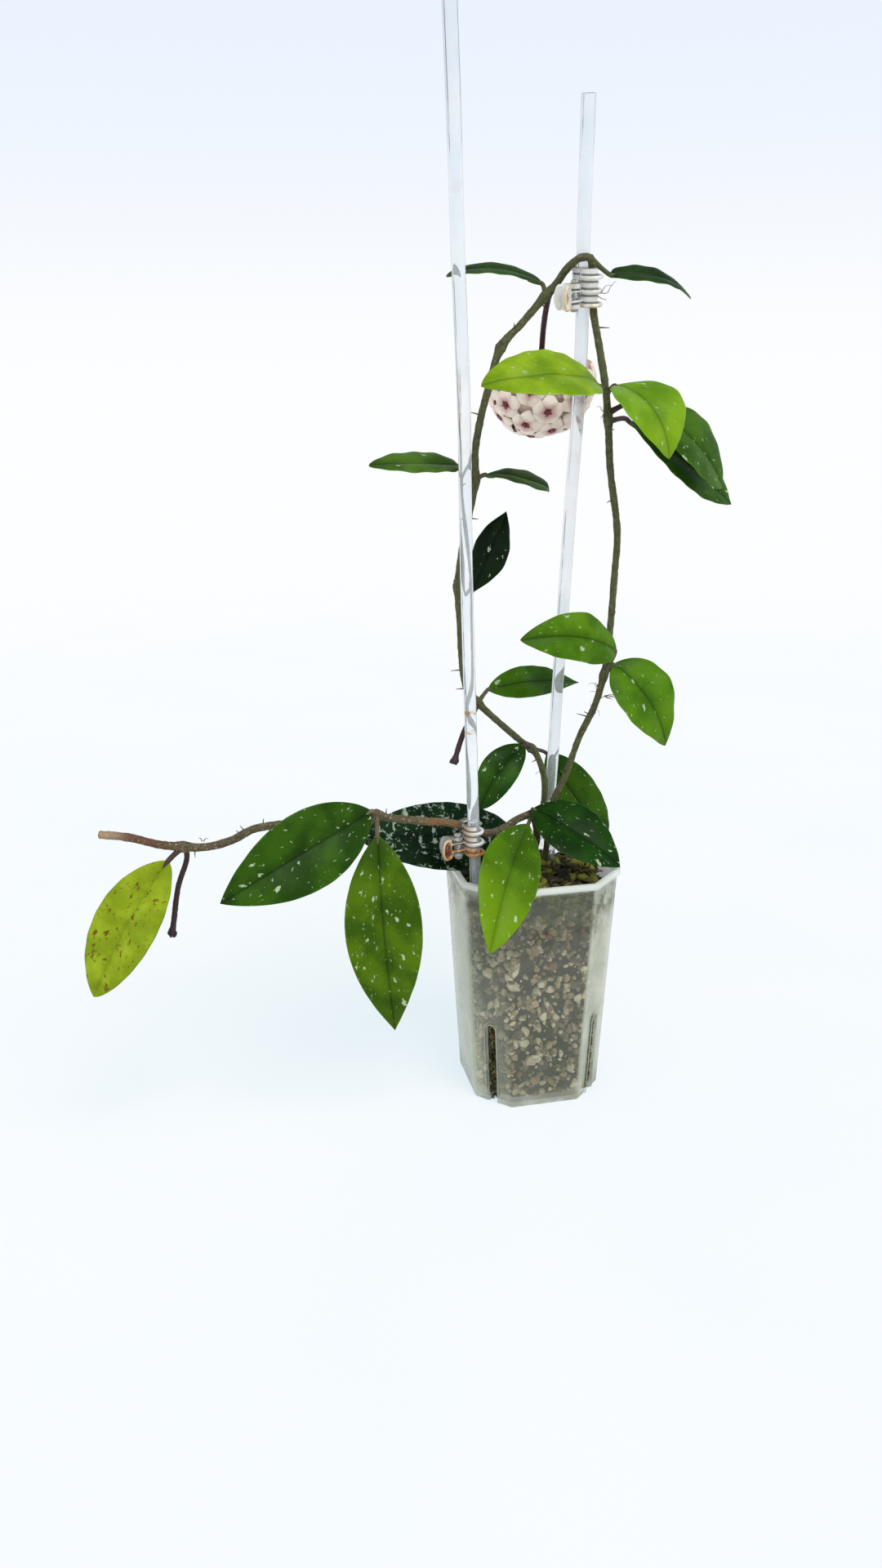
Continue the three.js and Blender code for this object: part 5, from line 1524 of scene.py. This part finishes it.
def barAlong(path, low, high, thick, corner):
    # a band of rounded section swept along a flat path
    path = np.asarray(path, float)
    ahead = unit(np.gradient(path, axis=0))
    out = np.column_stack([ahead[:, 1], -ahead[:, 0]])
    wide, tall = thick / 2, (high - low) / 2
    section = []
    for k, (cx, cz) in enumerate([(1, -1), (1, 1), (-1, 1), (-1, -1)]):
        for a in np.linspace(0, math.pi / 2, 4):
            turn = a + (k - 1) * math.pi / 2
            section.append((cx * (wide - corner) + corner * math.cos(turn),
                            cz * (tall - corner) + corner * math.sin(turn)))
    section = np.array(section)
    last, rings = len(path) - 1, []
    for share, k in [(0.6, 0)] + [(1.0, k) for k in range(len(path))] + [(0.6, last)]:
        push = 0 if share == 1 else (-0.25 if k == 0 else 0.25)
        spot = path[k] + ahead[k] * push
        ring = spot[None] + out[k][None] * section[:, :1] * share
        rise = (low + high) / 2 + section[:, 1] * (0.8 if share < 1 else 1)
        rings.append(np.column_stack([ring, rise]))
    return closedLoft(rings[::-1])


def lathe(profile, sides=24):
    # a turned ring about the hinge line; profile is a closed loop of (radius, z)
    radius, z = np.array(profile, float).T
    hx, hy = clip["hinge"]
    rings = np.stack([np.column_stack([hx + radius * math.cos(a), hy + radius * math.sin(a), z])
                      for a in around(sides)])
    count = len(profile)
    ring, spot = (part.ravel() for part in np.indices((sides, count)))
    row, rowUp, after = ring * count, (ring + 1) % sides * count, (spot + 1) % count
    return rings.reshape(-1, 3), [np.stack([row + spot, rowUp + spot, rowUp + after,
                                            row + after], 1)]


def padTurn(front):
    return math.radians(clip["padTurn"][front]) * (-1 if front else 1)


def padShape(front, padTo):
    # a finger pad: a rounded plate with a dish in its outer face
    turn, rim, dish = padTurn(front), clip["padRim"], clip["dish"]
    half, mid = clip["padThick"] / 2, (clip["padFrom"] + padTo) / 2 - 0.1
    levels = [(2.6, -half), (0.5, -half), (0.12, -half + 0.15), (0, -half + 0.5),
              (0, half - 0.5), (0.12, half - 0.15), (0.45, half), (rim - 0.25, half),
              (rim + 0.1, half - 0.2), (rim + 0.4, half - dish), (2.8, half - dish - 0.1)]
    rings = []
    for inset, level in levels:
        tall, reach = clip["padTall"] / 2 - inset, padTo - mid - inset * 0.7
        arc = [(mid + reach * math.cos(a), tall * math.sin(a))
               for a in np.linspace(-math.pi / 2, math.pi / 2, 17)]
        back = [(clip["padFrom"] + min(inset, 1.2), y)
                for y in np.linspace(tall * 0.92, -tall * 0.92, 5)]
        rings.append([(x, y, level) for x, y in arc + back])
    verts, faces = closedLoft(rings)
    verts = np.column_stack([verts[:, 0], -verts[:, 2], verts[:, 1] + clip["padTall"] / 2])
    if front:
        verts[:, 1] *= -1
        faces = [f[:, ::-1] for f in faces]
    spin = np.array([[math.cos(turn), -math.sin(turn)], [math.sin(turn), math.cos(turn)]])
    flat = verts[:, :2] @ spin.T + np.array(clip["hinge"])
    return np.column_stack([flat, verts[:, 2]]), faces


def jawShape(front, padTo):
    # a thin wall behind three ribs, the pad, and the knuckles with their webs
    shape, path, turn = Shape(), bandPath(front), padTurn(front)
    wallPart = path[:9] if front else path[:12]
    shape.add(*barAlong(wallPart, 0.3, clip["tall"] - 0.3, clip["wall"] - 0.45, 0.3))
    for k in range(3):
        low = k * clip["pitch"] + (0 if front else clip["pitch"] / 2)
        shape.add(*barAlong(path, low + clip["ribLow"], low + clip["ribHigh"],
                            clip["wall"] + 0.4, 0.6))
    shape.add(*padShape(front, padTo))
    hx, hy = clip["hinge"]
    bore, knuckle, side = clip["bore"], clip["knuckle"], -1.1 if front else 1.1
    for low, high in knuckles[front]:
        shape.add(*lathe([(bore, low), (knuckle - 0.25, low), (knuckle, low + 0.25),
                          (knuckle, high - 0.25), (knuckle - 0.25, high), (bore, high)]))
        reach = [(hx + math.cos(turn) * r, hy + math.sin(turn) * r) for r in (1.6, 3.0, 4.6)]
        shape.add(*barAlong(reach, low, high, clip["padThick"], 0.3))
        web = [(hx + 1.4, hy + side), (hx + 2.4, hy + side), (-clip["mid"], hy + side)]
        shape.add(*barAlong(web, low, high, 1.5, 0.3))
    return shape


def placeOnClip(mesh, where, front, padTo):
    # marks each point with its place across the clip, on its pad (0 middle, 1 rim) and up it
    points = np.empty(len(mesh.vertices) * 3, np.float32)
    mesh.vertices.foreach_get("co", points)
    local = moved(points.reshape(-1, 3).astype(float) / mm, where.inverted())
    turn, middle, tall = padTurn(front), (clip["padFrom"] + padTo) / 2, clip["padTall"] / 2
    away = local[:, :2] - np.array(clip["hinge"])
    along = away @ np.array([math.cos(turn), math.sin(turn)])
    share = np.hypot((along - middle) / (padTo - middle), (local[:, 2] - tall) / tall)
    setMark(mesh, "clipPlace", np.column_stack([local[:, 0], share, local[:, 2]]))


def jawMaterial(name, which, front):
    def draw(n):
        x, pad, z = n.split(n.mark("clipPlace"))
        place = n.place()
        out = n.effect(plasticWear, clip, Place=place)
        colour, cloud = out["Color"], (n.noise(place, 0.4, 3) - 0.5) * 5.0
        if front:
            top, edge = which["amberTop"], which["amberLeft"]
            low = n.fade(z + cloud, top + 1.4, top - 1.2)
            left = n.fade(x + cloud, edge + 2.5, edge - 1.5, 0.0, 0.5)
            colour = n.mix(n.most(low, left), colour, which["amber"])
            right = n.fade(x + cloud, 3.0, 4.6) * n.fade(z, 5, 8, 0.0, which["brown"])
            colour = n.mix(right, colour, which["spot"])
            # painted highlight: a pale band round the pad's rim
            rim = n.fade(pad, 0.82, 0.96) * n.fade(pad, 1.35, 1.15, 0.0, 0.75)
            colour = n.mix(rim, colour, clip["rimGlow"])
        hollow = n.fade(pad + cloud * 0.1, which["spotSize"], which["spotSize"] - 0.35,
                        0.0, 0.95 if front else which["spotBack"])
        blotch = n.fade(n.noise(place, 0.5, 3), 0.52, 0.7)
        colour = n.mix(hollow, colour, n.mix(blotch, which["spot"], which["amber"]))
        # painted shade: dark lines between the ribs, for the shade and the dark stem seen through
        # them
        row = abs(n.math("FRACT", z / 2.5 + 0.09) - 0.5)
        gap = n.fade(row, 0.28, 0.38, 0.0, 0.8) * n.fade(pad, 1.15, 1.5)
        return surface(out, n.mix(gap, colour, clip["gap"]))
    return makeMaterial(name, draw, {
        "Transmission Weight": 0.4 if front else which["rearClear"], "IOR": 1.46,
        "Coat Weight": 0.3, "Coat Roughness": 0.05}, (0.12, 0.0002))


def stemTools(which):
    # what the stems take away from the jaws, with a little air round them
    tools = []
    for stem in stems.values():
        line, _ = route(stem["line"], 2.0)
        middle = np.array(which["at"]) + np.array([0, 0, 7])
        kept = line[np.linalg.norm(line - middle, axis=1) < 22]
        if len(kept):
            tool = Shape()
            tool.add(*tube(kept, stemRadius(kept, stem, 1) + 0.35, 14)[:2])
            tools.append(tool)
    return tools


def makeJaw(name, which, front, where):
    padTo = which["padTo"] if front else clip["padTo"]
    shape = jawShape(front, padTo)
    shape.points = [moved(np.vstack(shape.points), where)]
    mesh = applied(shape.mesh(which["title"]),
                   ("REMESH", {"mode": "VOXEL", "voxel_size": 0.00022, "use_smooth_shade": True}),
                   ("SMOOTH", {"factor": 0.5, "iterations": 3}))
    mesh = cutBy(mesh, [tool.mesh("stemTool") for tool in stemTools(which)])
    mesh = applied(mesh, ("DECIMATE", {"ratio": 0.35}))
    placeOnClip(mesh, where, front, padTo)
    end = "Front" if front else "Rear"
    dressed(mesh, jawMaterial(which["title"] + end + "Plastic", which, front))
    asPiece(which["title"] + "Jaw" + end, mesh,
            f"{name}_jaw_{end.lower()}", body=f"{name}_front" if front else "plant")


def pinShape(where):
    r, head, top, shape = clip["pin"], clip["pinHead"], clip["pinTop"], Shape()
    verts, faces = lathe([
        (0.01, -0.9), (head - 0.2, -0.9), (head, -0.7), (head, -0.45), (head - 0.15, -0.3),
        (r, -0.3), (r, top), (head - 0.15, top), (head, top + 0.15), (head, top + 0.4),
        (head - 0.2, top + 0.6), (0.01, top + 0.6)])
    shape.add(moved(verts, where), faces)
    return shape


def springShape(where):
    turns, (hx, hy), shape = np.linspace(0, 2 * math.tau, 61), clip["hinge"], Shape()
    path = np.column_stack([hx + clip["coil"] * np.cos(turns), hy + clip["coil"] * np.sin(turns),
                            4.0 + 1.6 * turns / turns[-1]])
    verts, faces, place = tube(path, clip["wire"], 8)
    shape.add(moved(verts, where), faces, routePlace=place)
    return shape


def drawPin(n):
    return surface(n.effect(plasticWear, {**clip, "base": 0.08}, Place=n.place()))


def drawSteel(n):
    share = n.fade(n.noise(n.place(), 0.9, 3), 0.4, 0.6)
    return {"Base Color": n.mix(share, (150, 150, 152), (196, 196, 198)),
            "Roughness": uneven(n, n.noise(n.place(), 3.0, 2), 0.25, 0.4)}


def makeClips():
    plastic = makeMaterial("clipClear", drawPin, {"Transmission Weight": 0.8, "IOR": 1.46},
                           (0.12, 0.0002))
    steel = makeMaterial("springWire", drawSteel, {"Metallic": 1.0})
    for name, which in clips.items():
        where = clipFrame(which)
        for front in (False, True):
            makeJaw(name, which, front, where)
        pinShape(where).piece(which["title"] + "Pin", [plastic], "clear_clip", f"{name}_pin")
        springShape(where).piece(which["title"] + "Spring", [steel], "spring_steel",
                                 f"{name}_spring")


makeClips()
print("clips done")


# Camera, floor and light: angles in degrees, lamps as their name, where they shine from, how
# strong and how soft they are.
setting = {
    "cameraPlace": (-0.151, -0.507, 0.310), "azimuth": 12.2, "pitch": 17.2, "roll": -0.56,
    "lens": 28.125, "horizon": (0.985, 0.99, 1.0, 1), "sky": (235, 243, 254),
    "ceiling": (0.40, 0.42, 0.44, 1), "floor": (0.27, 0.18, 0.15, 1),
    "floorCool": (0.25, 0.17, 0.15, 1), "floorGlow": (0.63, 0.765, 0.82, 1),
    "floorRings": (20, 120, 400, 1200, 4000, 12000), "floorSides": 96, "floorLevel": -0.05,
    "lamps": [("key", (0.35, -0.85, 1.15), 2.3, 40), ("fill", (-1.0, -0.5, 0.8), 0.6, 70)],
}


def makeCamera():
    turn, tip, roll = (math.radians(setting[k]) for k in ("azimuth", "pitch", "roll"))
    ahead = Vector((math.cos(tip) * math.sin(turn), math.cos(tip) * math.cos(turn),
                    -math.sin(tip)))
    right = Vector((math.cos(turn), -math.sin(turn), 0))
    up = right.cross(ahead)
    right, up = (right * math.cos(roll) + up * math.sin(roll),
                 up * math.cos(roll) - right * math.sin(roll))
    camera = inScene("camera", bpy.data.cameras.new("camera"))
    camera.data.lens, camera.data.sensor_width = setting["lens"], 36
    camera.data.clip_start = 0.01
    camera.matrix_world = (Matrix.Translation(setting["cameraPlace"])
                           @ Matrix((right, up, -ahead)).transposed().to_4x4())
    bpy.context.scene.camera = camera


def drawFloor(n):
    place = n.place()
    cloud = n.noise(place, 0.006, 2)
    far = n.fade(n.length(place), 260, 2200)
    near = n.mix(n.fade(cloud, 0.3, 0.7), setting["floor"], setting["floorCool"])
    return {"Base Color": n.mix(far, near, (0, 0, 0, 1)),
            "Emission Color": n.mix(far, setting["floorGlow"], setting["horizon"]),
            "Roughness": uneven(n, cloud, 0.85, 0.95)}


def makeFloor():
    sides, level, radii = setting["floorSides"], setting["floorLevel"], setting["floorRings"]
    angle = around(sides)
    rings = [np.column_stack([r * np.cos(angle), r * np.sin(angle), np.full(sides, level)])
             for r in radii]
    count, shape = len(radii), Shape()
    shape.add(np.vstack(rings + [[[0, 0, level]]]),
              [ringFaces(count, sides)[:, ::-1], capFaces(0, sides, count * sides, True)[:, ::-1]])
    pale = makeMaterial("paleFloor", drawFloor, {"Emission Strength": 1.0,
                                                 "Specular IOR Level": 0.0})
    inScene("floor", shape.mesh("floor", [pale]))


def makeLight():
    world = bpy.data.worlds.new("studio")
    bpy.context.scene.world = world
    world.use_nodes = True
    n = Nodes(world.node_tree)
    back = next(node for node in world.node_tree.nodes if node.type == "BACKGROUND")
    height = n.split(n.add("ShaderNodeTexCoord", out="Generated"))[2]
    sky = n.mix(n.fade(height, 0.0, 0.27), setting["horizon"], setting["sky"])
    n.give(back.inputs["Color"], n.mix(n.fade(height, 0.30, 0.55), sky, setting["ceiling"]))
    for name, aim, power, soft in setting["lamps"]:
        lamp = inScene(name, bpy.data.lights.new(name, "SUN"))
        lamp.data.energy, lamp.data.angle = power, math.radians(soft)
        lamp.location = aim
        lamp.rotation_euler = Vector(aim).to_track_quat("Z", "Y").to_euler()
    bpy.context.scene.view_settings.view_transform = "Standard"


makeCamera()
makeFloor()
makeLight()
print("camera, floor and light ready")
